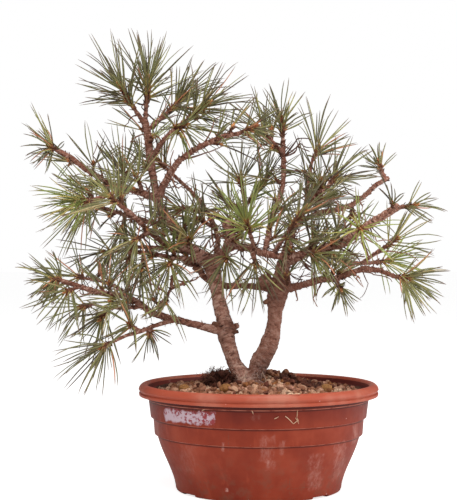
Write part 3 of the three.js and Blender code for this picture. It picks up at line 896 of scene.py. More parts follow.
@dataclass(frozen=True)
class BarkFinish:
    """Pinkish-brown pine bark, ringed with fine cracks and darker on the youngest wood."""

    fresh: Colour = (0.41, 0.195, 0.138)
    pale: Colour = (0.62, 0.40, 0.315)
    brown: Colour = (0.175, 0.064, 0.040)
    crack: Colour = (0.042, 0.018, 0.013)
    twig: Colour = (0.165, 0.052, 0.029)
    # foot: painted shade at the foot of the right trunk.
    foot: Colour = (0.070, 0.032, 0.025)
    mould: Colour = (0.66, 0.52, 0.46)
    ringing: tuple[float, float, float] = (1.25, 0.95, 1.1)

    def material(self, foot_height: float) -> bpy.types.Material:
        """Makes the material.

        Args:
            foot_height: height of the ground at the trunks.

        Returns:
            The material, which reads the attributes "length" and "girth".
        """
        shade = Shade("pine_bark", 0.85, 0.3)
        length = shade.attribute("length")
        girth = shade.attribute("girth")
        combine = shade.node("ShaderNodeCombineXYZ")
        split = shade.node("ShaderNodeSeparateXYZ")
        shade.feed(split.inputs["Vector"], shade.object_place)
        for k, axis in enumerate("XYZ"):
            stretched = shade.math("MULTIPLY_ADD", length, self.ringing[k], split.outputs[axis])
            shade.feed(combine.inputs[k], stretched)
        wrinkle = shade.noise(0.0068, 4, 0.66, combine.outputs["Vector"])
        patch = shade.noise(0.0062, 4, 0.62)
        fleck = shade.noise(0.0018, 3, 0.6)
        colour = shade.ramp(patch, [(0.32, self.brown), (0.52, self.fresh), (0.72, self.pale)])
        thin = shade.between(girth, 0.55, 0.25)
        colour = shade.mix(shade.times(thin, 0.72), colour, self.twig)
        colour = shade.mix(shade.between(fleck, 0.6, 0.72), colour, self.pale)
        ridges = shade.times(shade.between(wrinkle, 0.53, 0.64), 0.66)
        colour = shade.mix(ridges, colour, self.pale)
        lines = shade.between(wrinkle, 0.44, 0.34)
        colour = shade.mix(shade.times(lines, 0.92), colour, self.crack)
        scars = shade.between(shade.cells(0.0062), 0.2, 0.12)
        colour = shade.mix(shade.times(scars, 0.45), colour, self.crack)
        knotted = shade.attribute("knotted")
        dark = shade.mix(shade.between(wrinkle, 0.4, 0.6), self.crack, self.brown)
        colour = shade.mix(shade.times(knotted, 0.8), colour, dark)
        shaded = shade.times(
            shade.between(shade.axis("X"), -0.016, 0.010),
            shade.between(shade.axis("Z"), foot_height + 0.16, foot_height + 0.11),
        )
        colour = shade.mix(shade.times(shaded, 0.5), colour, self.brown)
        low = shade.between(shade.axis("Z"), foot_height + 0.05, foot_height + 0.008)
        # Painted shade: the foot of the right trunk is darkened in patches.
        right = shade.between(shade.axis("X"), -0.014, 0.006)
        foot_shade_mask = shade.times(low, right)
        patchy_foot_shade = shade.times(foot_shade_mask, shade.between(patch, 0.3, 0.55))
        colour = shade.mix(shade.times(patchy_foot_shade, 0.85), colour, self.foot)
        grains = shade.between(shade.noise(0.0011, 2), 0.55, 0.64)
        specks = shade.times(grains, low)
        crust = shade.times(specks, shade.between(patch, 0.42, 0.54))
        colour = shade.mix(shade.times(crust, 0.8), colour, self.mould)
        shade.paint(colour)
        shade.bump((wrinkle, 0.0014), (fleck, 0.0004))
        return shade.material


@dataclass(frozen=True)
class TintedFinish:
    """A finish whose colour follows each copy's own tint, with mottling of its own."""

    name: str
    tints: tuple[tuple[float, Colour], ...]
    mottle: Colour
    mottle_size: float
    mottle_share: float = 0.5
    roughness: float = 0.85
    specular: float = 0.3
    relief: float = 0.0004
    root: Colour | None = None
    tip: Colour | None = None

    def material(self) -> bpy.types.Material:
        """Makes the material.

        Returns:
            The material, which reads the attributes "tint" and "share".
        """
        shade = Shade(self.name, self.roughness, self.specular)
        colour = shade.ramp(shade.attribute("tint"), self.tints)
        share = shade.attribute("share")
        if self.root is not None:
            colour = shade.mix(shade.between(share, 0.22, 0.02), colour, self.root)
        if self.tip is not None:
            colour = shade.mix(shade.between(share, 0.72, 1.0), colour, self.tip)
        cloud = shade.noise(self.mottle_size, 3, 0.6)
        spots = shade.times(shade.between(cloud, 0.5, 0.7), self.mottle_share)
        shade.paint(shade.mix(spots, colour, self.mottle))
        shade.bump((shade.noise(0.5 * self.mottle_size, 3, 0.6), self.relief))
        return shade.material


GRIT = TintedFinish(
    name="pumice_grit",
    tints=(
        (0.0, (0.055, 0.016, 0.010)), (0.13, (0.140, 0.040, 0.022)), (0.22, (0.30, 0.110, 0.034)),
        (0.40, (0.25, 0.098, 0.050)), (0.60, (0.42, 0.200, 0.120)), (0.80, (0.60, 0.350, 0.225)),
        (0.92, (0.42, 0.165, 0.108)), (1.0, (0.68, 0.45, 0.30)),
    ),
    mottle=(0.20, 0.08, 0.045), mottle_size=0.002, mottle_share=0.7, relief=0.0009,
)
LAVA = TintedFinish(
    name="lava_lump", tints=((0.0, (0.26, 0.105, 0.028)), (1.0, (0.42, 0.20, 0.07))),
    mottle=(0.09, 0.035, 0.016), mottle_size=0.0026, mottle_share=0.85, relief=0.0009,
)
# The soil bed's dark colour: partly dark fines, partly painted shade between the grains.
FINES_AND_SHADE = TintedFinish(
    name="dark_fines_and_shade", tints=((0.0, (0.08, 0.036, 0.022)), (1.0, (0.14, 0.065, 0.04))),
    mottle=(0.035, 0.016, 0.011), mottle_size=0.003, mottle_share=0.9, relief=0.0009,
)
ROOT_MOSS = TintedFinish(
    name="root_moss",
    tints=((0.0, (0.040, 0.013, 0.009)), (0.7, (0.095, 0.034, 0.022)), (1.0, (0.26, 0.12, 0.075))),
    mottle=(0.03, 0.011, 0.008), mottle_size=0.003, specular=0.1,
)
PALE_ROOT = TintedFinish(
    name="pale_root", tints=((0.0, (0.40, 0.25, 0.18)), (1.0, (0.66, 0.50, 0.38))),
    mottle=(0.3, 0.17, 0.11), mottle_size=0.002,
)
STRAW = TintedFinish(
    name="straw", tints=((0.0, (0.62, 0.36, 0.22)), (1.0, (0.80, 0.62, 0.42))),
    mottle=(0.45, 0.24, 0.13), mottle_size=0.002, roughness=0.6,
)
PEG = TintedFinish(
    name="bark_pegs",
    tints=((0.0, (0.07, 0.03, 0.02)), (0.6, (0.17, 0.07, 0.042)), (1.0, (0.34, 0.17, 0.11))),
    mottle=(0.06, 0.03, 0.02), mottle_size=0.002,
)
DARK_NEEDLE = TintedFinish(
    name="needle_green",
    tints=(
        (0.0, (0.055, 0.036, 0.026)), (0.25, (0.110, 0.096, 0.046)), (0.5, (0.175, 0.170, 0.070)),
        (0.72, (0.250, 0.250, 0.092)), (0.88, (0.370, 0.350, 0.125)), (0.93, (0.48, 0.37, 0.18)),
        (1.0, (0.55, 0.22, 0.11)),
    ),
    mottle=(0.27, 0.18, 0.12), mottle_size=0.008, mottle_share=0.5, roughness=0.5, specular=0.35,
    relief=0.0001, root=(0.46, 0.36, 0.11), tip=(0.16, 0.088, 0.064),
)
BRIGHT_NEEDLE = TintedFinish(
    name="needle_bright",
    tints=(
        (0.0, (0.13, 0.13, 0.050)), (0.4, (0.23, 0.27, 0.070)), (0.8, (0.36, 0.41, 0.100)),
        (1.0, (0.55, 0.44, 0.15)),
    ),
    mottle=(0.26, 0.22, 0.11), mottle_size=0.008, mottle_share=0.4, roughness=0.48, specular=0.35,
    relief=0.0001, root=(0.52, 0.42, 0.12), tip=(0.24, 0.15, 0.08),
)
SHEATH = TintedFinish(
    name="needle_sheath", tints=((0.0, (0.16, 0.062, 0.03)), (1.0, (0.42, 0.19, 0.085))),
    mottle=(0.08, 0.035, 0.02), mottle_size=0.002, root=(0.1, 0.045, 0.03),
)
TWIG = TintedFinish(
    name="scaly_twig", tints=((0.0, (0.075, 0.032, 0.020)), (1.0, (0.22, 0.088, 0.048))),
    mottle=(0.04, 0.019, 0.013), mottle_size=0.0022, mottle_share=0.8, relief=0.0007,
)
BUD = TintedFinish(
    name="resinous_bud", tints=((0.0, (0.33, 0.10, 0.035)), (1.0, (0.62, 0.26, 0.09))),
    mottle=(0.20, 0.06, 0.025), mottle_size=0.0014, mottle_share=0.6, roughness=0.55,
    tip=(0.70, 0.42, 0.22),
)


# ---- Pot --------------------------------------------------------------------------------------


@dataclass
class Pot:
    """The round training pot: a bowl with two raised bands and a rolled rim."""

    sides: int = 176
    foot_radius: float = 0.0965
    foot_round: float = 0.003
    wall: float = 0.003
    floor: float = 0.005
    band_step: float = 0.003
    band_slope: float = 0.0015
    lower_band_below_rim: float = 0.0588
    upper_band_below_rim: float = 0.039
    rim_depth: float = 0.014
    rim_width: float = 0.0106
    rim_overhang: float = 0.0112
    drain_count: int = 7
    drain_radius: float = 0.0055
    drain_ring: float = 0.058
    channel_width: float = 0.026
    channel_depth: float = 0.0025
    first_channel: float = math.radians(-147)
    rim_radius: float = field(init=False)
    height: float = field(init=False)

    def __post_init__(self) -> None:
        """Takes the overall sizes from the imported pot."""
        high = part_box("pot")[1]
        self.rim_radius, self.height = high.x, high.z

    @staticmethod
    def rounded(
        corner: Sequence[float], before: Sequence[float], after: Sequence[float], radius: float,
        steps: int,
    ) -> list[tuple[float, float]]:
        """A corner of the profile, rounded off.

        Args:
            corner: the sharp corner.
            before: the profile's point before it.
            after: the point after it.
            radius: how far from the corner the round starts.
            steps: how many points the round has, less one.

        Returns:
            The points that replace the corner.
        """
        a, b, c = (np.array(p, float) for p in (before, corner, after))
        start = b + unit(a - b) * min(radius, 0.45 * np.linalg.norm(a - b))
        end = b + unit(c - b) * min(radius, 0.45 * np.linalg.norm(c - b))
        shares = np.linspace(0, 1, steps + 1)[:, None]
        curve = (1 - shares) ** 2 * start + 2 * shares * (1 - shares) * b + shares**2 * end
        return [tuple(p) for p in curve]

    def bowl(
        self, bottom: float, top: float, inset: float, steps: int = 14
    ) -> list[tuple[float, float]]:
        """The bowl's side from its foot to its lower band.

        Args:
            bottom: the height it starts at.
            top: the height it ends at.
            inset: how far inside the outer face it runs.
            steps: how many stretches it has.

        Returns:
            (radius, height) points.
        """
        body = self.body_radius
        rise = top - bottom
        hull = np.array([
            [self.foot_radius - inset, bottom],
            [self.foot_radius + 0.002 - inset, bottom + 0.32 * rise],
            [body - 0.006 - inset, bottom + 0.6 * rise], [body - inset, top],
        ])
        t = np.linspace(0, 1, steps + 1)[:, None]
        curve = ((1 - t) ** 3 * hull[0] + 3 * t * (1 - t) ** 2 * hull[1]
                 + 3 * t**2 * (1 - t) * hull[2] + t**3 * hull[3])
        return [tuple(p) for p in curve]

    @property
    def neck_radius(self) -> float:
        """The wall's outer radius just under the rim."""
        return self.rim_radius - self.rim_overhang

    @property
    def body_radius(self) -> float:
        """The bowl's outer radius just under the lower band."""
        return self.neck_radius - 3 * self.band_slope - 2 * self.band_step

    def profile(self) -> list[tuple[float, float]]:
        """The pot's outline from its foot up, over the rim and down inside to its floor.

        Returns:
            (radius, height) points.
        """
        top = self.height
        lower, upper = top - self.lower_band_below_rim, top - self.upper_band_below_rim
        under = top - self.rim_depth
        upper_radius = self.neck_radius - 2 * self.band_slope
        lower_radius = upper_radius - self.band_step - self.band_slope
        mouth = self.rim_radius - self.rim_width
        bowl = self.bowl(self.foot_round, lower, 0)
        corners = [
            (lower_radius, lower + 0.0005), (lower_radius + self.band_slope, upper),
            (upper_radius, upper + 0.0005), (self.neck_radius - 0.0006, under - 0.0045),
            (self.neck_radius + 0.0008, under - 0.004), (self.neck_radius + 0.0008, under),
            (self.rim_radius - 0.0008, under + 0.0002), (self.rim_radius - 0.0004, under + 0.0034),
            (self.rim_radius - 0.0024, under + 0.0044), (self.rim_radius, top - 0.0066),
            (self.rim_radius - 0.0012, top - 0.0032), (self.rim_radius - 0.0036, top - 0.0009),
            (mouth + 0.45 * self.rim_width, top), (mouth + 0.0012, top - 0.0007),
            (mouth, top - 0.0026), (mouth - 0.001, top - 0.007),
            (self.neck_radius - self.wall, under),
            (lower_radius + self.band_slope - self.wall, upper),
        ]
        inner = self.bowl(self.floor, lower, self.wall)[::-1]
        path = [bowl[-1], *corners, inner[0]]
        sharp = 0.0007
        line = [(self.foot_radius - self.foot_round, 0.0)]
        line.append((self.foot_radius - 0.3 * self.foot_round, 0.3 * self.foot_round))
        line.extend(bowl)
        for before, corner, after in zip(path, path[1:], path[2:]):
            line.extend(self.rounded(corner, before, after, sharp, 2))
        line.extend(inner)
        return line

    def build(self) -> bpy.types.Object:
        """Turns the pot, cuts its drain holes and dresses it.

        Returns:
            The finished piece.
        """
        deselect_all()
        line = self.profile()
        radius, height = line[0]
        bpy.ops.mesh.primitive_circle_add(
            vertices=self.sides, radius=radius, fill_type="NGON", location=(0, 0, height)
        )
        piece = bpy.context.object
        piece.name = piece.data.name = "training_pot"
        start_edit(piece)
        for wide, high in line[1:]:
            extrude_ring(high - height, wide / radius, high)
            radius, height = wide, high
        bpy.ops.mesh.select_all(action="SELECT")
        bpy.ops.mesh.normals_make_consistent(inside=False)
        end_edit()
        self.cut_drains(piece)
        edges = (
            self.height - self.lower_band_below_rim, self.height - self.upper_band_below_rim,
            self.height - self.rim_depth - 0.0042,
        )
        finish = PlasticFinish(rim_foot=self.height - self.rim_depth, edges=edges)
        piece.data.materials.append(finish.material())
        piece.data.materials.append(finish.lining())
        for face in piece.data.polygons:
            face.material_index = int(self.is_inside(face))
        dress(piece, ["pot"], 32)
        return piece

    def is_inside(self, face: bpy.types.MeshPolygon) -> bool:
        """Whether a face belongs to the pot's inside.

        Args:
            face: a face of the finished pot.

        Returns:
            True on the inner wall and on the floor.
        """
        outward = Vector((face.center.x, face.center.y, 0))
        mouth = self.rim_radius - self.rim_width - 0.0004
        inner = -face.normal.dot(outward.normalized()) > 0.15 and outward.length < mouth
        return inner or (face.normal.z > 0.9 and face.center.z < 2 * self.floor)

    def cut_drains(self, piece: bpy.types.Object) -> None:
        """Cuts the drain holes and the channels that lead from them out under the foot.

        Args:
            piece: the pot.
        """
        for i in range(self.drain_count):
            turn = self.first_channel + i * 2 * math.pi / self.drain_count
            way = Vector((math.cos(turn), math.sin(turn), 0))
            deselect_all()
            bpy.ops.mesh.primitive_cylinder_add(
                vertices=32, radius=self.drain_radius, depth=4 * self.floor,
                location=way * self.drain_ring,
            )
            self.cut(piece, bpy.context.object)
            length = self.foot_radius - self.drain_ring + 0.02
            deselect_all()
            bpy.ops.mesh.primitive_cube_add(
                size=1, location=way * (self.drain_ring + length / 2), rotation=(0, 0, turn),
                scale=(length, self.channel_width, 2 * self.channel_depth),
            )
            self.cut(piece, bpy.context.object)

    @staticmethod
    def cut(piece: bpy.types.Object, tool: bpy.types.Object) -> None:
        """Takes one solid's shape out of another and removes the first.

        Args:
            piece: the solid that is cut.
            tool: the solid that cuts it.
        """
        apply_modifier(piece, "BOOLEAN", operation="DIFFERENCE", object=tool, solver="EXACT")
        mesh = tool.data
        bpy.data.objects.remove(tool)
        bpy.data.meshes.remove(mesh)


# ---- Wood -------------------------------------------------------------------------------------


@dataclass(frozen=True)
class Stub:
    """A short, broken side branch, as seen from the front: its two ends and its radius."""

    x: float
    z: float
    end_x: float
    end_z: float
    radius: float


@dataclass(frozen=True)
class Knot:
    """A swollen or narrowed place on the wood, as seen from the front.

    It is smooth where scarred is 0, and folded and dark where it is 1.
    """

    x: float
    z: float
    reach: float
    rise: float
    scarred: float = 1.0


@dataclass
class Wood:
    """Roots, trunks, branches and twigs in one skin of bark."""

    voxel: float = 0.0012
    fullness: float = 0.0007
    wrinkle_depth: float = 0.00048
    knob_depth: float = 0.0010
    swell_depth: float = 0.0013
    dark_rise: float = 0.0016
    knots: tuple[Knot, ...] = (
        Knot(0.0235, 0.2385, 0.013, 0.0042), Knot(0.0225, 0.2225, 0.010, 0.0040),
        Knot(-0.0403, 0.1756, 0.008, 0.0017), Knot(-0.0345, 0.1875, 0.010, 0.0038),
        Knot(-0.058, 0.2645, 0.014, 0.0028), Knot(-0.0240, 0.148, 0.014, -0.0058, 0.0),
        Knot(-0.002, 0.149, 0.014, 0.0045, 0.35), Knot(0.010, 0.169, 0.012, 0.0034, 0.0),
        Knot(-0.126, 0.425, 0.024, 0.0007), Knot(-0.123, 0.385, 0.024, 0.0008),
        Knot(-0.115, 0.345, 0.022, 0.0006),
    )
    soil_crown: float = 0.012
    peg_count: int = 1500
    peg_radius: float = 0.0062
    pegs_above: float = 0.19
    bare_twigs: int = 230
    twig_radius: float = 0.0075
    twigs_above: float = 0.22
    twigs_between: tuple[float, float] = (-0.20, 0.14)
    stubs: tuple[Stub, ...] = (
        Stub(0.016, 0.243, 0.002, 0.248, 0.0036), Stub(0.014, 0.238, -0.002, 0.239, 0.0030),
        Stub(0.012, 0.247, 0.008, 0.255, 0.0024), Stub(0.014, 0.222, 0.006, 0.217, 0.0028),
        Stub(-0.032, 0.187, -0.0240, 0.1905, 0.0034), Stub(-0.031, 0.182, -0.0236, 0.1836, 0.0027),
        Stub(-0.046, 0.190, -0.054, 0.194, 0.0024), Stub(-0.066, 0.253, -0.076, 0.258, 0.0030),
    )
    seed: int = 11
    piece: bpy.types.Object = field(init=False)
    points: np.ndarray = field(init=False)
    normals: np.ndarray = field(init=False)
    length: np.ndarray = field(init=False)
    radius: np.ndarray = field(init=False)
    knotted: np.ndarray = field(init=False)
    edges: np.ndarray = field(init=False)
    finder: BVHTree = field(init=False)

    def build(self) -> None:
        """Makes the wood's roughened skin of bark."""
        piece = merged_copy("trunk_and_branches", "bark")
        apply_modifier(piece, "REMESH", mode="VOXEL", voxel_size=self.voxel)
        apply_modifier(piece, "SMOOTH", factor=0.5, iterations=4)
        self.piece = piece
        mesh = piece.data
        self.edges = edges_of(mesh)
        self.points, self.normals = points_of(mesh), normals_of(mesh)
        self.radius = self.measured_radius()
        self.length = self.distance_from_foot()
        self.roughen()
        move_points(mesh, self.points)
        self.normals = normals_of(mesh)
        set_attribute(mesh, "length", self.length)
        set_attribute(mesh, "girth", np.clip(self.radius / 0.01, 0, 2))
        set_attribute(mesh, "knotted", self.knotted)
        foot_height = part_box("substrate")[1].z - self.soil_crown
        mesh.materials.append(BarkFinish().material(foot_height))
        self.finder = tree_of(piece)
        dress(piece, ["trunk_and_branches"], 80)

    def measured_radius(self) -> np.ndarray:
        """Measures the wood's thickness under each point of its skin.

        Returns:
            Half of it for each point, evened out.
        """
        finder = tree_of(self.piece)
        found = []
        for point, normal in zip(self.points, self.normals):
            inward = Vector(-normal)
            hit = finder.ray_cast(Vector(point) + 0.0003 * inward, inward, 0.04)
            found.append(0.5 * (hit[3] + 0.0003) if hit[3] is not None else 0.01)
        radius = np.array(found)
        a, b = self.edges.T
        for _ in range(12):
            total = np.zeros(len(radius))
            count = np.zeros(len(radius))
            np.add.at(total, a, radius[b])
            np.add.at(total, b, radius[a])
            np.add.at(count, a, 1)
            np.add.at(count, b, 1)
            radius = 0.5 * radius + 0.5 * total / np.maximum(count, 1)
        return radius

    def distance_from_foot(self) -> np.ndarray:
        """Measures how far each point is from the trunks' foot, along the wood.

        Returns:
            The distance for each point.
        """
        neighbours: list[list[tuple[int, float]]] = [[] for _ in self.points]
        a, b = self.edges.T
        spans = np.linalg.norm(self.points[a] - self.points[b], axis=1)
        for (a, b), span in zip(self.edges.tolist(), spans.tolist()):
            neighbours[a].append((b, span))
            neighbours[b].append((a, span))
        foot = int(np.argmin(self.points[:, 2]))
        distance = [math.inf] * len(self.points)
        distance[foot] = 0.0
        queue = [(0.0, foot)]
        while queue:
            so_far, here = heapq.heappop(queue)
            if so_far > distance[here]:
                continue
            for there, span in neighbours[here]:
                if so_far + span < distance[there]:
                    distance[there] = so_far + span
                    heapq.heappush(queue, (so_far + span, there))
        found = np.array(distance)
        found[~np.isfinite(found)] = 0.0
        return found

    def roughen(self) -> None:
        """Raises rings, knobs and swellings on the smooth skin."""
        along = self.length[:, None] * np.array([[1.0, 0.72, 0.84]])
        rings = rough_noise(self.points + 1.1 * along, 0.0064, 3.1)
        fine = rough_noise(self.points + 0.6 * along, 0.0030, 7.7)
        knobs = rough_noise(self.points + 0.4 * along, 0.0055, 12.3)
        swell = rough_noise(self.points, 0.016, 5.2)
        size = np.clip(self.radius / 0.008, 0.3, 1.0)
        thin = np.clip((0.0065 - self.radius) / 0.004, 0.0, 1.0)
        rise = self.wrinkle_depth * (0.6 + size) * (rings + 0.45 * fine)
        rise += self.knob_depth * thin * np.clip(knobs, 0, 1) ** 1.3 * 1.6
        rise += self.swell_depth * size * swell
        rise += self.fullness * np.clip((0.0105 - self.radius) / 0.004, -0.4, 1)
        folds = 1 - 2.4 * np.abs(rough_noise(self.points + 0.5 * along, 0.0075, 21.0))
        self.knotted = np.zeros(len(self.points))
        for knot in self.knots:
            near = self.nearness(knot)
            creases = knot.scarred * (0.6 * folds - 0.3) + 0.85
            rise += knot.rise * near * creases
            darkness = knot.scarred * min(1.0, knot.rise / self.dark_rise)
            self.knotted = np.maximum(self.knotted, near * darkness)
        self.points = self.points + self.normals * rise[:, None]

    def depth_at(self, x: float, z: float, reach: float) -> float:
        """Where, from front to back, the thickest wood lies.

        Args:
            x: the place across.
            z: the place's height.
            reach: how far around the place counts.

        Returns:
            The wood's Y.
        """
        flat = np.hypot(self.points[:, 0] - x, self.points[:, 2] - z)
        weight = np.exp(-((flat / reach) ** 2)) * self.radius**4
        return float((weight * self.points[:, 1]).sum() / weight.sum())

    def nearness(self, knot: Knot) -> np.ndarray:
        """How near each point is to a knot.

        Args:
            knot: the knot.

        Returns:
            A number from 0 to 1 for each point.
        """
        middle = np.array([knot.x, self.depth_at(knot.x, knot.z, knot.reach), knot.z])
        away = np.linalg.norm((self.points - middle) * [1, 0.6, 1], axis=1)
        return np.exp(-((away / knot.reach) ** 2))

    def outward(self, index: np.ndarray) -> np.ndarray:
        """The direction, along the skin, in which the wood runs away from the foot.

        Args:
            index: the points' numbers.

        Returns:
            One unit vector for each.
        """
        a, b = self.edges.T
        step = self.points[b] - self.points[a]
        rise = (self.length[b] - self.length[a])[:, None]
        slope = np.zeros_like(self.points)
        np.add.at(slope, a, step * rise)
        np.add.at(slope, b, step * rise)
        return unit(slope[index])

    def build_pegs(self) -> None:
        """Sets short pegs, the feet of old needles, on the younger branches."""
        random = np.random.default_rng(self.seed)
        thin = self.radius < self.peg_radius
        young = np.flatnonzero(thin & (self.points[:, 2] > self.pegs_above))
        weight = 1 / np.clip(self.radius[young], 0.0022, 0.006)
        chosen = random.choice(young, self.peg_count, replace=False, p=weight / weight.sum())
        along, out = self.outward(chosen), self.normals[chosen]
        long = random.uniform(0.0014, 0.0044, len(chosen))[:, None]
        roots = self.points[chosen] - 0.0004 * out
        tips = roots + unit(0.75 * out + random.uniform(0.4, 1.1, (len(chosen), 1)) * along) * long
        peg = stem_template(5, [(0, 1.0), (0.35, 0.85), (0.8, 0.6), (1, 0.25)])
        places = bent(
            peg, roots, (roots + tips) / 2 + 0.0003 * out, tips,
            random.uniform(0.00045, 0.00095, len(chosen)), random.uniform(0, 6, len(chosen)),
        )
        copies = Copies()
        copies.add(peg, places, random.uniform(0, 1, len(chosen)))
        dress(copies.build("bark_pegs", [PEG.material()]), smooth=50)

    def build_bare_twigs(self) -> None:
        """Leaves bare, crooked twigs among the branches of the crown's middle."""
        random = np.random.default_rng(self.seed + 1)
        place = self.points
        x, _, z = place.T
        left, right = self.twigs_between
        thin = self.radius < self.twig_radius
        inner = np.flatnonzero(thin & (z > self.twigs_above) & (x > left) & (x < right))
        chosen = random.choice(inner, self.bare_twigs, replace=False)
        along, out = self.outward(chosen), self.normals[chosen]
        count = len(chosen)
        forward = random.uniform(0, 0.8, (count, 1)) * along
        aim = unit(out + forward + 0.5 * random.normal(size=(count, 3)))
        roots = place[chosen] - 0.001 * out
        long = random.uniform(0.010, 0.034, (count, 1))
        elbows = roots + aim * long
        tips = elbows + unit(aim + 0.9 * random.normal(size=(count, 3))) * long * 0.8
        wide = random.uniform(0.0006, 0.0013, count)
        twig = stem_template(5, [(0, 1.0), (0.25, 0.85), (0.5, 0.95), (0.75, 0.7), (1, 0.6)])
        bend = 0.22 * long * random.normal(size=(count, 3))
        copies = Copies()
        tints = random.uniform(0.1, 1, count)
        for start, end, width in ((roots, elbows, wide), (elbows, tips, 0.62 * wide)):
            places = bent(twig, start, (start + end) / 2 + bend, end, width, np.zeros(count))
            copies.add(twig, places, tints)
        stump = stem_template(8, [(0, 1.1), (0.3, 0.95), (0.6, 1.05), (0.9, 0.9), (1, 0.7)])
        for stub in self.stubs:
            depth = self.depth_at(stub.x, stub.z, 0.012) - 0.004
            start = np.array([[stub.x, depth, stub.z]])
            end = np.array([[stub.end_x, depth - 0.004, stub.end_z]])
            bow = (start + end) / 2 + 0.0015 * random.normal(size=(1, 3))
            places = bent(stump, start, bow, end, np.array([stub.radius]), np.zeros(1))
            places += 0.0004 * random.normal(size=places.shape)
            copies.add(stump, places, random.uniform(0.35, 0.8, 1))
        dress(copies.build("bare_twigs", [PEG.material()]), smooth=60)


# ---- Needles ----------------------------------------------------------------------------------


class Part(Enum):
    """The parts of a shoot, in the order of its material slots."""

    NEEDLE = 0
    SHEATH = 1
    TWIG = 2
    BUD = 3


@dataclass(frozen=True)
class ShootShapes:
    """The shapes that every shoot is put together from."""

    needle: Template
    sheath: Template
    twig: Template
    bract: Template
    bud: Template

    @classmethod
    def modelled(cls) -> "ShootShapes":
        """Models each shape once."""
        return cls(
            needle=stem_template(
                4, [(0, 0.8), (0.15, 1.0), (0.4, 1.05), (0.68, 0.95), (0.88, 0.7), (1, 0.12)]
            ),
            sheath=stem_template(5, [(0, 1.0), (0.5, 1.1), (1, 0.75)]),
            twig=stem_template(
                7, [(0, 1.0), (0.2, 0.94), (0.4, 0.98), (0.6, 0.84), (0.8, 0.78), (1, 0.5)]
            ),
            bract=stem_template(4, [(0, 1.0), (0.5, 0.9), (1, 0.1)]),
            bud=stem_template(6, [(0, 0.8), (0.3, 1.1), (0.6, 0.85), (0.85, 0.45), (1, 0.08)]),
        )


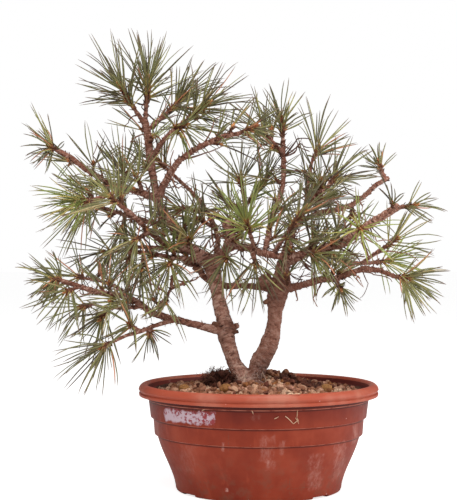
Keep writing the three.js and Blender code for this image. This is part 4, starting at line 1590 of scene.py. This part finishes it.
@dataclass
class Shoot:
    """A scaly twig with buds, and pairs of needles in papery sheaths."""

    foot: np.ndarray
    head: np.ndarray
    roots: np.ndarray
    tips: np.ndarray
    random: np.random.Generator
    extra_pairs: float = 0.0
    longest: float = 1.14
    scales_per_metre: float = 1500.0
    girth: float = 0.0024
    mood: float = 0.0

    @property
    def axis(self) -> np.ndarray:
        """The direction of the twig."""
        return unit(self.head - self.foot)

    def add_to(self, copies: Copies, shapes: ShootShapes) -> None:
        """Adds the whole shoot to a piece.

        Args:
            copies: the piece's copies.
            shapes: what the shoot is put together from.
        """
        self.add_twig(copies, shapes.twig)
        self.add_needles(copies, shapes)
        self.add_bracts(copies, shapes.bract)
        self.add_buds(copies, shapes.bud)

    def add_twig(self, copies: Copies, twig: Template) -> None:
        """Adds the twig that carries the needles.

        Args:
            copies: the piece's copies.
            twig: the twig's shape.
        """
        middle = ((self.foot + self.head) / 2)[None] + 0.0006 * self.random.normal(size=(1, 3))
        places = bent(
            twig, (self.foot - 0.002 * self.axis)[None], middle, self.head[None],
            np.array([self.girth]), np.zeros(1),
        )
        copies.add(twig, places, self.random.uniform(0.2, 0.8, 1), Part.TWIG.value)

    def needle_lines(self) -> tuple[np.ndarray, np.ndarray]:
        """Places the pairs of needles, along and around the shoot's spikes.

        Returns:
            The root and the tip of every pair.
        """
        random = self.random
        span = max(float(np.linalg.norm(self.head - self.foot)), 0.02)
        roots, tips = [], []
        for root, tip in zip(self.roots, self.tips):
            way, long = unit(tip - root), np.linalg.norm(tip - root)
            roots.append(root)
            tips.append(root + way * long * random.uniform(0.97, 1.0) * self.reach(root, tip))
            for _ in range(int(random.uniform() < self.extra_pairs)):
                aim = unit(way + random.uniform(0.2, 0.8) * unit(random.normal(size=3)))
                start = root + self.axis * random.uniform(-0.2, 0.05) * span
                roots.append(start)
                tips.append(start + aim * long * random.uniform(0.55, 0.97))
        return np.array(roots), np.array(tips)

    def reach(self, root: np.ndarray, tip: np.ndarray) -> float:
        """How far a needle may run: less where it would leave the tree's box.

        Args:
            root: the spike's root.
            tip: the spike's tip.

        Returns:
            The needle's length against the spike's.
        """
        stretched = root + (tip - root) * self.longest
        low, high = (np.array(corner) for corner in CAD_BOX)
        return self.longest if ((stretched > low) & (stretched < high)).all() else 1.0

    def add_needles(self, copies: Copies, shapes: ShootShapes) -> None:
        """Adds the needles, two to a sheath.

        Args:
            copies: the piece's copies.
            shapes: what the shoot is put together from.
        """
        random = self.random
        base, end = self.needle_lines()
        way = unit(end - base)
        long = np.linalg.norm(end - base, axis=1)[:, None]
        count = len(base)
        aside = unit(np.cross(way, unit(random.normal(size=(count, 3)))))
        sheath_end = base + way * random.uniform(0.0035, 0.006, (count, 1))
        sheaths = bent(
            shapes.sheath, base, (base + sheath_end) / 2, sheath_end,
            random.uniform(0.00085, 0.00115, count), random.uniform(0, 6, count),
        )
        copies.add(shapes.sheath, sheaths, random.uniform(0, 1, count), Part.SHEATH.value)
        up = np.array([[0, 0, 1.0]])
        for sign in (-1, 1):
            spread = random.uniform(0.006, 0.075, (count, 1)) * sign
            tip = base + unit(way + spread * aside) * long * random.uniform(0.9, 1.0, (count, 1))
            sag = up * random.uniform(-0.06, 0.14, (count, 1)) * long
            bow = aside * sign * random.uniform(-0.02, 0.07, (count, 1)) * long
            control = (base + tip) / 2 + bow + sag + 0.042 * long * random.normal(size=(count, 3))
            tint = np.clip(random.normal(0.5 + self.mood, 0.2, count), 0, 0.92)
            tint = np.where(random.uniform(size=count) < 0.04, 1.0, tint)
            places = bent(
                shapes.needle, base + way * 0.0015, control, tip,
                random.uniform(0.00060, 0.00082, count), random.uniform(0, 6, count),
            )
            copies.add(shapes.needle, places, tint, Part.NEEDLE.value)

    def add_bracts(self, copies: Copies, bract: Template) -> None:
        """Adds the twig's pointed brown scales.

        Args:
            copies: the piece's copies.
            bract: a scale's shape.
        """
        random, axis = self.random, self.axis
        span = self.head - self.foot
        count = int(6 + self.scales_per_metre * np.linalg.norm(span))
        side = unit(np.cross(axis, [0.3, 0.9, 0.2]))
        turn = random.uniform(0, 2 * math.pi, (count, 1))
        out = np.cos(turn) * side + np.sin(turn) * np.cross(axis, side)
        share = random.uniform(-0.1, 1.0, (count, 1))
        roots = self.foot + span * share + out * self.girth * (0.78 - 0.35 * share)
        lean = unit(out + random.uniform(0.6, 2.2, (count, 1)) * axis)
        tips = roots + lean * random.uniform(0.0022, 0.0052, (count, 1))
        places = bent(
            bract, roots, (roots + tips) / 2 + 0.0004 * out, tips,
            random.uniform(0.0005, 0.0010, count), random.uniform(0, 6, count),
        )
        young = share[:, 0] > 0.72
        for chosen, part in ((young, Part.SHEATH), (~young, Part.TWIG)):
            copies.add(bract, places[chosen], random.uniform(0, 1, int(chosen.sum())), part.value)

    def add_buds(self, copies: Copies, bud: Template) -> None:
        """Adds the orange-brown buds at the twig's head.

        Args:
            copies: the piece's copies.
            bud: a bud's shape.
        """
        random = self.random
        count = int(random.integers(1, 4))
        first = np.arange(count) == 0
        aim = unit(self.axis + 0.45 * random.normal(size=(count, 3)) * ~first[:, None])
        roots = np.repeat((self.head - 0.001 * self.axis)[None], count, axis=0)
        size = random.uniform(0.004, 0.0075, count) * np.where(first, 1, 0.7)
        tips = roots + aim * size[:, None]
        places = bent(
            bud, roots, (roots + tips) / 2, tips, size * random.uniform(0.24, 0.32, count),
            random.uniform(0, 6, count),
        )
        copies.add(bud, places, random.uniform(0, 1, count), Part.BUD.value)


@dataclass(frozen=True)
class Opening:
    """A part of the crown, as seen from the front, that small shoots stay out of."""

    left: float
    low: float
    right: float
    top: float

    def holds(self, x: np.ndarray, z: np.ndarray) -> np.ndarray:
        """True for each point that lies in it."""
        return (x > self.left) & (x < self.right) & (z > self.low) & (z < self.top)


@dataclass
class Crown:
    """All the shoots: one in place of each CAD node, and small ones along the branches.

    The strong shoots of the top and the usual ones differ in their needles' reach and girth.
    """

    wood: Wood
    shortest_spike: float = 0.012
    dense_above: float = 0.43
    thin_beyond: float = 0.10
    dense_pairs: float = 1.0
    usual_pairs: float = 0.55
    thin_pairs: float = 0.2
    strong: tuple[float, float] = (1.34, 0.0030)
    usual: tuple[float, float] = (1.12, 0.0024)
    young_radius: float = 0.0052
    young_above: float = 0.215
    side_shoots: int = 98
    margin: float = 0.004
    open_spaces: tuple[Opening, ...] = (
        Opening(-0.118, 0.305, -0.030, 0.400), Opening(-0.080, 0.205, 0.032, 0.285),
    )

    def build(self) -> None:
        """Makes every shoot."""
        shapes = ShootShapes.modelled()
        shared = [SHEATH.material(), TWIG.material(), BUD.material()]
        greens = {
            "needles_dark": [DARK_NEEDLE.material(), *shared],
            "needles_bright": [BRIGHT_NEEDLE.material(), *shared],
        }
        slots = {part["node"]: part["material_slot"] for part in frame["record"]["subparts"]}
        nodes = sorted(name for name in frame["nodes"] if name.startswith("needles_"))
        for number, node in enumerate(nodes):
            random = np.random.default_rng(1000 + number)
            roots, tips, foot, head = self.measure(node)
            copies = Copies()
            mood = float(random.uniform(-0.14, 0.14))
            high = bool(head[2] > self.dense_above)
            pairs = self.thin_pairs if head[0] > self.thin_beyond else self.usual_pairs
            longest, girth = self.strong if high else self.usual
            shoot = Shoot(
                foot, head, roots, tips, random, extra_pairs=self.dense_pairs if high else pairs,
                longest=longest, girth=girth, mood=mood,
            )
            shoot.add_to(copies, shapes)
            piece = copies.build(node.replace("needles_", "shoot_"), greens[slots[node]])
            dress(piece, [node], 70)
        self.build_side_shoots(shapes, greens)

    def measure(self, node: str) -> tuple[np.ndarray, np.ndarray, np.ndarray, np.ndarray]:
        """Reads a shoot's frame from its CAD node.

        Args:
            node: the CAD node.

        Returns:
            The roots and tips of its spikes, and the foot and head of its candle.
        """
        copy = merged_copy(node, "shoot_frame")
        points, edges = points_of(copy.data), edges_of(copy.data)
        mesh = copy.data
        bpy.data.objects.remove(copy)
        bpy.data.meshes.remove(mesh)
        spans = np.linalg.norm(points[edges[:, 0]] - points[edges[:, 1]], axis=1)
        shortest = np.full(len(points), np.inf)
        for k in (0, 1):
            np.minimum.at(shortest, edges[:, k], spans)
        is_tip = shortest > self.shortest_spike
        candle = points[~is_tip]
        roots, tips = [], []
        for tip in np.flatnonzero(is_tip):
            ends = edges[(edges == tip).any(axis=1)].ravel()
            roots.append(points[ends[ends != tip]].mean(axis=0))
            tips.append(points[tip])
        middle = candle.mean(axis=0)
        axis = np.linalg.svd(candle - middle)[2][0]
        reach = (candle - middle) @ axis
        ends = [middle + axis * reach.min(), middle + axis * reach.max()]
        gaps = [self.wood.finder.find_nearest(Vector(end))[3] for end in ends]
        foot, head = ends if gaps[0] < gaps[1] else ends[::-1]
        return np.array(roots), np.array(tips), foot, head

    def build_side_shoots(
        self, shapes: ShootShapes, greens: dict[str, list[bpy.types.Material]]
    ) -> None:
        """Sets small shoots of a few needles along the younger branches.

        Args:
            shapes: what a shoot is put together from.
            greens: the materials of each slot.
        """
        random = np.random.default_rng(77)
        wood = self.wood
        thin = wood.radius < self.young_radius
        young = np.flatnonzero(thin & (wood.points[:, 2] > self.young_above))
        x, _, z = wood.points[young].T
        weight = np.where(x > self.thin_beyond - 0.015, 0.1, 1.0)
        for space in self.open_spaces:
            weight[space.holds(x, z)] = 0.0
        starts = random.choice(young, self.side_shoots, replace=False, p=weight / weight.sum())
        along = wood.outward(starts)
        low, high = (np.array(corner) for corner in CAD_BOX)
        bright, dark = Copies(), Copies()
        for start, run in zip(starts, along):
            out = wood.normals[start]
            axis = unit(out + random.uniform(0.1, 0.9) * run + [0, 0, random.uniform(-0.1, 0.7)])
            foot = wood.points[start] - 0.001 * out
            head = foot + axis * random.uniform(0.005, 0.013)
            count = int(random.integers(3, 8))
            spread = random.uniform(0.3, 0.95, (count, 1))
            aim = unit(axis + spread * unit(random.normal(size=(count, 3))))
            share = random.uniform(0.3, 1, (count, 1))
            roots = foot + (head - foot) * share
            tips = roots + aim * random.uniform(0.028, 0.056, (count, 1))
            fits = ((tips > low + self.margin) & (tips < high - self.margin)).all(axis=1)
            if not fits.any():
                continue
            shoot = Shoot(
                foot, head, roots[fits], tips[fits], random, girth=0.0013,
                mood=float(random.uniform(-0.2, 0.2)),
            )
            shoot.add_to(bright if random.uniform() < 0.16 else dark, shapes)
        for copies, slot, name in (
            (dark, "needles_dark", "side_shoots"), (bright, "needles_bright", "bright_side_shoots")
        ):
            dress(copies.build(name, greens[slot]), smooth=70)


# ---- Ground -----------------------------------------------------------------------------------


@dataclass(frozen=True)
class Strand:
    """A bit of straw: each end's X, and how far in from the rim or how high it lies."""

    x: float
    place: float
    end_x: float
    end_place: float

    @property
    def ends(self) -> tuple[tuple[float, float], tuple[float, float]]:
        """Its two ends."""
        return (self.x, self.place), (self.end_x, self.end_place)


@dataclass
class Ground:
    """The grit in the pot, with lumps, a clump of roots and a dark bed of fines and painted shade."""

    wood: Wood
    sink: float = 0.0022
    edge_drop: float = 0.0055
    spacing: float = 0.0056
    grain_sizes: tuple[float, float] = (0.0038, 0.0082)
    fines: int = 2600
    heap_place: tuple[float, float] = (0.030, 0.014)
    heap_reach: tuple[float, float] = (0.034, 0.022)
    heap_rise: float = 0.0058
    dark_place: tuple[float, float] = (0.054, 0.0)
    dark_reach: float = 0.029
    fibres: int = 800
    clods: int = 70
    root_threads: int = 46
    on_rim: tuple[Strand, ...] = (
        Strand(0.0285, 0.0002, 0.0345, 0.0034), Strand(0.0330, 0.0030, 0.0345, -0.0002),
        Strand(0.0345, -0.0012, 0.0405, -0.0016), Strand(0.0395, -0.0014, 0.0425, 0.0012),
        Strand(0.0600, 0.0000, 0.0640, 0.0020),
    )
    hanging: tuple[Strand, ...] = (
        Strand(0.0262, 0.0992, 0.0350, 0.0905), Strand(0.0350, 0.0905, 0.0395, 0.0938),
        Strand(0.0394, 0.1055, 0.0390, 0.0968), Strand(0.0390, 0.0968, 0.0408, 0.0930),
        Strand(0.0372, 0.0972, 0.0412, 0.0902), Strand(0.0145, 0.0965, 0.0190, 0.0990),
        Strand(-0.0640, 0.1035, -0.0600, 0.1052), Strand(-0.0110, 0.1060, -0.0085, 0.1015),
    )
    seed: int = 5
    finder: BVHTree = field(init=False)
    radius: float = field(init=False)
    lumps: list[BVHTree] = field(init=False)

    def __post_init__(self) -> None:
        """Measures the packed soil and the lumps that lie on it."""
        self.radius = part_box("substrate")[1].x
        self.finder = tree_of(frame["nodes"]["substrate"])
        lying = [n for n in frame["nodes"] if n.startswith("lava_") or n == "moss_clump"]
        self.lumps = [tree_of(frame["nodes"][n]) for n in sorted(lying)]

    def height(self, x: float, y: float) -> float | None:
        """Height of the settled ground.

        Args:
            x: the place's X.
            y: its Y.

        Returns:
            The height, or None off the ground's edge.
        """
        hit = self.finder.ray_cast(Vector((x, y, 0.3)), Vector((0, 0, -1)))
        found = hit[0] is not None and hit[1].z > 0.3
        return hit[0].z - float(self.settled(np.array([x]), np.array([y]))[0]) if found else None

    def settled(self, x: np.ndarray, y: np.ndarray) -> np.ndarray:
        """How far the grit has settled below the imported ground: most by the wall behind.

        Args:
            x: the places' X.
            y: their Y.

        Returns:
            The drop at each place, less the heap beside the trunks.
        """
        out = np.clip((np.hypot(x, y) / self.radius - 0.55) / 0.42, 0, 1)
        behind = 0.25 + 0.75 * np.clip((y / self.radius + 0.75) / 0.6, 0, 1)
        heap_x, heap_y = self.heap_place
        wide, deep = self.heap_reach
        heap = self.heap_rise * np.exp(-(((x - heap_x) / wide) ** 2) - ((y - heap_y) / deep) ** 2)
        return self.sink + self.edge_drop * out**1.4 * behind - heap

    def spots(self, spacing: float, random: np.random.Generator) -> np.ndarray:
        """Places on the ground, about evenly spread.

        Args:
            spacing: how far apart they are.
            random: where chance comes from.

        Returns:
            Their X and Y, one row each.
        """
        reach = self.radius - 0.5 * spacing
        rows = np.arange(-reach, reach, 0.87 * spacing)
        found = []
        for i, y in enumerate(rows):
            for x in np.arange(-reach, reach, spacing) + (i % 2) * 0.5 * spacing:
                found.append((x, y))
        spots = np.array(found) + random.normal(0, 0.28 * spacing, (len(found), 2))
        return spots[np.hypot(*spots.T) < reach]

    def tint(self, x: float, y: float, random: np.random.Generator) -> float:
        """The tint of a grain.

        Args:
            x: where it lies, across.
            y: where it lies, from front to back.
            random: where chance comes from.

        Returns:
            A number from 0 to 1.
        """
        away_x, away_y = x - self.dark_place[0], y - self.dark_place[1]
        dark = math.hypot(away_x / 1.25, away_y) < self.dark_reach * random.uniform(0.7, 1.08)
        near = math.hypot(x + 0.04, y + 0.012) < 0.03 * random.uniform(0.5, 1.1)
        if dark or near:
            return random.uniform(0.0, 0.14)
        value = random.normal(0.57, 0.26)
        if x < -0.05:
            value = random.normal(0.50, 0.25)
        return float(np.clip(value, 0.12, 1.0))

    def build(self) -> None:
        """Makes everything that lies in the pot."""
        self.build_bed()
        self.build_grains()
        self.build_lumps()
        self.build_moss()
        self.build_root_threads()
        self.build_straw()

    def build_bed(self) -> None:
        """Makes the soil's body, its rough top dark with fines and painted shade between grains."""
        piece = merged_copy("substrate", "soil_bed")
        select_faces(piece, lambda face: face.normal.z > 0.6 and face.center.z > 0.1)
        bpy.ops.mesh.subdivide(number_cuts=7)
        end_edit()
        mesh = piece.data
        points, normals = points_of(mesh), normals_of(mesh)
        top = (normals[:, 2] > 0.75) & (points[:, 2] > 0.1)
        rise = 0.0011 * rough_noise(points, 0.004, 2.0) - 0.0006
        rise -= self.settled(points[:, 0], points[:, 1])
        points[:, 2] += np.where(top, rise, 0)
        move_points(mesh, points)
        set_attribute(mesh, "tint", 0.5 + 0.5 * rough_noise(points, 0.03, 4.0))
        set_attribute(mesh, "share", np.full(len(points), 0.5))
        # Its dark colour is partly painted shade between the grains.
        mesh.materials.append(FINES_AND_SHADE.material())
        dress(piece, ["substrate"], 70)

    def build_grains(self) -> None:
        """Strews grit over the soil: a full layer, some loose grains on it, and fines between."""
        random = np.random.default_rng(self.seed)
        shapes = [grain_template(seed) for seed in range(6)]
        small = [grain_template(seed, 3, 1) for seed in range(20, 23)]
        self.strew("grit_grains", shapes, self.spots(self.spacing, random), 1.0, 0.2, random)
        loose = self.spots(1.7 * self.spacing, random)
        self.strew("loose_grains", shapes, loose, 1.0, 0.72, random)
        fines = self.spots(0.62 * self.spacing, random)
        fines = fines[random.permutation(len(fines))[: self.fines]]
        self.strew("grit_fines", small, fines, 0.36, 0.5, random)

    def strew(
        self, name: str, shapes: Sequence[Template], spots: np.ndarray, size: float, lift: float,
        random: np.random.Generator,
    ) -> None:
        """Puts one layer of grains on the ground.

        Args:
            name: the piece's name.
            shapes: the grains' shapes.
            spots: where they lie.
            size: their size against the usual.
            lift: how far they stand above the ground, against their own size.
            random: where chance comes from.
        """
        groups: list[list[tuple[float, ...]]] = [[] for _ in shapes]
        low, high = self.grain_sizes
        for x, y in spots:
            ground = self.height(x, y)
            usual = random.normal(0.5 * (low + high), 0.0013)
            across = size * float(np.clip(usual, low, high))
            if ground is None:
                continue
            place = Vector((x, y, ground + lift * across))
            edge = self.radius - 0.55 * across - math.hypot(x, y)
            if edge < 0 or self.is_taken(place, 0.5 * across):
                continue
            group = groups[int(random.integers(len(shapes)))]
            group.append((*place, across, self.tint(x, y, random)))
        copies = Copies()
        for shape, rows in zip(shapes, groups):
            table = np.array(rows)
            stretch = random.uniform([0.8, 0.8, 0.62], [1.2, 1.1, 1.0], (len(rows), 3))
            places = scattered(shape, table[:, :3], table[:, 3:4] * stretch, random)
            copies.add(shape, places, table[:, 4])
        dress(copies.build(name, [GRIT.material()]), smooth=38)

    def is_taken(self, place: Vector, room: float) -> bool:
        """Whether the wood or a lump is in a grain's way.

        Args:
            place: the grain's middle.
            room: half its size.

        Returns:
            True when it is.
        """
        if self.wood.finder.find_nearest(place, 0.7 * room)[0] is not None:
            return True
        return any(lump.find_nearest(place, 0.4 * room)[0] is not None for lump in self.lumps)

    def build_lumps(self) -> None:
        """Makes the lumps of golden-brown lava rock."""
        nodes = sorted(name for name in frame["nodes"] if name.startswith("lava_"))
        for k, node in enumerate(nodes):
            piece = merged_copy(node, node.replace("lava_lump", "lava_rock"))
            start_edit(piece)
            bpy.ops.mesh.subdivide(number_cuts=2, smoothness=0.6)
            end_edit()
            mesh = piece.data
            points, normals = points_of(mesh), normals_of(mesh)
            pits = np.clip(rough_noise(points, 0.0016, k + 9), 0, 1)
            rise = 0.0006 * rough_noise(points, 0.0035, k) - 0.0007 * pits
            move_points(mesh, points + normals * rise[:, None])
            set_attribute(mesh, "tint", np.full(len(points), 0.3 + 0.25 * k))
            set_attribute(mesh, "share", np.full(len(points), 0.5))
            mesh.materials.append(LAVA.material())
            dress(piece, [node], 50)

    def build_moss(self) -> None:
        """Makes the clump of dark root fibres beside the trunks."""
        random = np.random.default_rng(self.seed + 1)
        low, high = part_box("moss_clump")
        centre, half = (low + high) / 2, (high - low) / 2
        centre = centre + Vector((0.3 * half.x, -0.1 * half.y, 0.3 * half.z))
        count = self.fibres
        scale = np.array([0.36, 0.42, 0.3])
        spread = np.clip(random.normal(size=(count, 3)), -2, 2) * scale * np.array(half)
        roots = np.array(centre) + spread
        roots[:, 2] = low.z + 0.35 * half.z + 1.5 * np.abs(spread[:, 2])
        lift = np.array([0, 0, 0.45 * half.z])
        aim = unit(spread * [1, 1, 0.5] + random.normal(size=(count, 3)) * half.x * 0.6 + lift)
        long = random.uniform(0.005, 0.0165, (count, 1))
        tips = roots + aim * long
        tips[:, 2] = np.maximum(tips[:, 2], low.z + 0.001)
        control = (roots + tips) / 2 + random.normal(size=(count, 3)) * 0.6 * long
        hair = stem_template(3, [(0, 1.0), (0.3, 0.9), (0.65, 0.8), (1, 0.4)])
        copies = Copies()
        widths = random.uniform(0.00022, 0.0005, count)
        places = bent(hair, roots, control, tips, widths, random.uniform(0, 6, count))
        copies.add(hair, places, random.uniform(0, 1, count) ** 1.4)
        lump = grain_template(40, 4)
        core = self.clods
        offset = random.uniform(-1, 1, (core, 3)) * np.array(half) * [0.5, 0.6, 0.45]
        middle = np.array(centre) + offset
        middle[:, 2] = np.minimum(middle[:, 2], centre.z + 0.35 * half.z)
        sizes = random.uniform(0.003, 0.007, (core, 1)) * random.uniform(0.7, 1.2, (core, 3))
        copies.add(lump, scattered(lump, middle, sizes, random), random.uniform(0.1, 0.75, core))
        piece = copies.build("root_clump", [ROOT_MOSS.material()])
        dress(piece, ["moss_clump"], 50)

    def build_root_threads(self) -> None:
        """Lays fine pale roots over the trunks' foot."""
        random = np.random.default_rng(self.seed + 2)
        wood = self.wood
        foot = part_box("trunk_and_branches")
        middle = np.array([-0.013, -0.005])
        ground = self.height(-0.013, -0.03) or foot[0].z
        near = np.flatnonzero(
            (np.hypot(*(wood.points[:, :2] - middle).T) < 0.02)
            & (wood.points[:, 2] > ground - 0.001) & (wood.points[:, 2] < ground + 0.016)
        )
        chosen = random.choice(near, self.root_threads, replace=False)
        out = unit(wood.normals[chosen] * [1, 1, 0.3])
        roots = wood.points[chosen] + 0.0003 * out
        aside = unit(np.cross(out, [0, 0, 1.0])) * random.uniform(-1, 1, (len(chosen), 1))
        tips = roots + 0.007 * aside + out * random.uniform(0.001, 0.006, (len(chosen), 1))
        tips[:, 2] -= random.uniform(0.001, 0.012, len(chosen))
        control = (roots + tips) / 2 + 0.003 * out + 0.003 * random.normal(size=(len(chosen), 3))
        thread = stem_template(4, [(0, 1.0), (0.33, 0.9), (0.66, 0.8), (1, 0.4)])
        copies = Copies()
        widths = random.uniform(0.00022, 0.0005, len(chosen))
        places = bent(thread, roots, control, tips, widths, random.uniform(0, 6, len(chosen)))
        copies.add(thread, places, random.uniform(0, 1, len(chosen)))
        dress(copies.build("root_threads", [PALE_ROOT.material()]), smooth=60)

    def build_straw(self) -> None:
        """Leaves a few bits of straw on the pot's rim and under it."""
        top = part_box("pot")[1]
        crest = top.x - 0.004
        band = top.x - 0.0139
        lean = 0.117
        roots, tips = [], []
        for strand in self.on_rim:
            for side, (x, inward) in zip((roots, tips), strand.ends):
                side.append((x, -math.sqrt((crest - inward) ** 2 - x**2), top.z + 0.0003))
        for strand in self.hanging:
            for side, (x, z) in zip((roots, tips), strand.ends):
                wall = band + lean * (z - top.z + Pot.upper_band_below_rim)
                side.append((x, -math.sqrt(wall**2 - x**2), z))
        roots, tips = np.array(roots), np.array(tips)
        random = np.random.default_rng(self.seed + 3)
        bow = 0.0007 * np.abs(random.normal(size=roots.shape)) * [1, -1, 1]
        blade = stem_template(4, [(0, 0.7), (0.3, 1.0), (0.7, 0.9), (1, 0.4)])
        copies = Copies()
        widths, turns = np.full(len(roots), 0.00046), random.uniform(0, 6, len(roots))
        places = bent(blade, roots, (roots + tips) / 2 + bow, tips, widths, turns)
        copies.add(blade, places, random.uniform(0, 1, len(roots)))
        dress(copies.build("straw_bits", [STRAW.material()]), smooth=60)


# ---- Studio -----------------------------------------------------------------------------------


@dataclass(frozen=True)
class Studio:
    """A pale floor, soft light all round and the camera."""

    eye: tuple[float, float, float] = (-0.035, -1.614, 0.2785)
    lens: float = 99.36
    sky: float = 0.29
    floor_glow: float = 0.72
    floor_colour: Colour = (0.9, 0.9, 0.9)

    def build(self) -> None:
        """Sets up floor, world, lamps and camera."""
        self.build_floor()
        self.build_world()
        self.lamp("top", (0.1, -0.5, 1.6), 0.9, 17)
        self.lamp("right", (1.5, -0.45, 0.55), 0.9, 13)
        self.lamp("left", (-1.2, -1.2, 1.2), 0.7, 10)
        self.lamp("front", (0.3, -2.3, 1.5), 0.7, 7)
        bpy.context.scene.view_settings.view_transform = "Standard"
        deselect_all()
        bpy.ops.object.camera_add(location=self.eye, rotation=(math.radians(90), 0, 0))
        camera = bpy.context.object
        camera.data.lens = self.lens
        camera.data.clip_start = 0.05
        camera.data.clip_end = 60
        bpy.context.scene.camera = camera

    def build_floor(self) -> None:
        """Lays the floor."""
        deselect_all()
        bpy.ops.mesh.primitive_plane_add(size=24, location=(0, 4, -0.0002))
        floor = bpy.context.object
        floor.name = "floor"
        shade = Shade("pale_floor", 0.8, 0.2)
        cloud = shade.times(shade.noise(0.4, 2), 0.03)
        shade.paint(shade.mix(cloud, self.floor_colour, (0.84, 0.84, 0.84)))
        shade.surface.inputs["Emission Color"].default_value = (1, 1, 1, 1)
        seen = shade.node("ShaderNodeLightPath").outputs["Is Camera Ray"]
        glow = shade.math("MULTIPLY_ADD", seen, self.floor_glow - 0.1, 0.1)
        shade.feed(shade.surface.inputs["Emission Strength"], glow)
        floor.data.materials.append(shade.material)

    def build_world(self) -> None:
        """Makes the surroundings white, and dimmer as a light than they look."""
        world = bpy.data.worlds.new("studio")
        world.use_nodes = True
        bpy.context.scene.world = world
        tree = world.node_tree
        background = tree.nodes["Background"]
        background.inputs["Color"].default_value = (1, 1, 1, 1)
        ray = tree.nodes.new("ShaderNodeLightPath").outputs["Is Camera Ray"]
        strength = tree.nodes.new("ShaderNodeMapRange")
        strength.inputs["To Min"].default_value = self.sky
        strength.inputs["To Max"].default_value = 1.0
        tree.links.new(ray, strength.inputs["Value"])
        tree.links.new(strength.outputs["Result"], background.inputs["Strength"])

    @staticmethod
    def lamp(name: str, place: tuple[float, float, float], size: float, power: float) -> None:
        """Adds a square lamp that faces the tree.

        Args:
            name: the lamp's name.
            place: where it hangs.
            size: its side.
            power: its power in watts.
        """
        deselect_all()
        aim = Vector((0, 0, 0.2)) - Vector(place)
        bpy.ops.object.light_add(
            type="AREA", location=place, rotation=aim.to_track_quat("-Z", "Y").to_euler()
        )
        lamp = bpy.context.object
        lamp.name = name
        lamp.data.size = size
        lamp.data.energy = power


def main() -> None:
    """Builds every piece in order."""
    logging.basicConfig(level=logging.INFO, format="%(name)s %(message)s")
    Pot().build()
    wood = Wood()
    wood.build()
    wood.build_pegs()
    wood.build_bare_twigs()
    Crown(wood).build()
    Ground(wood).build()
    Studio().build()


if __name__ == "__main__":
    main()
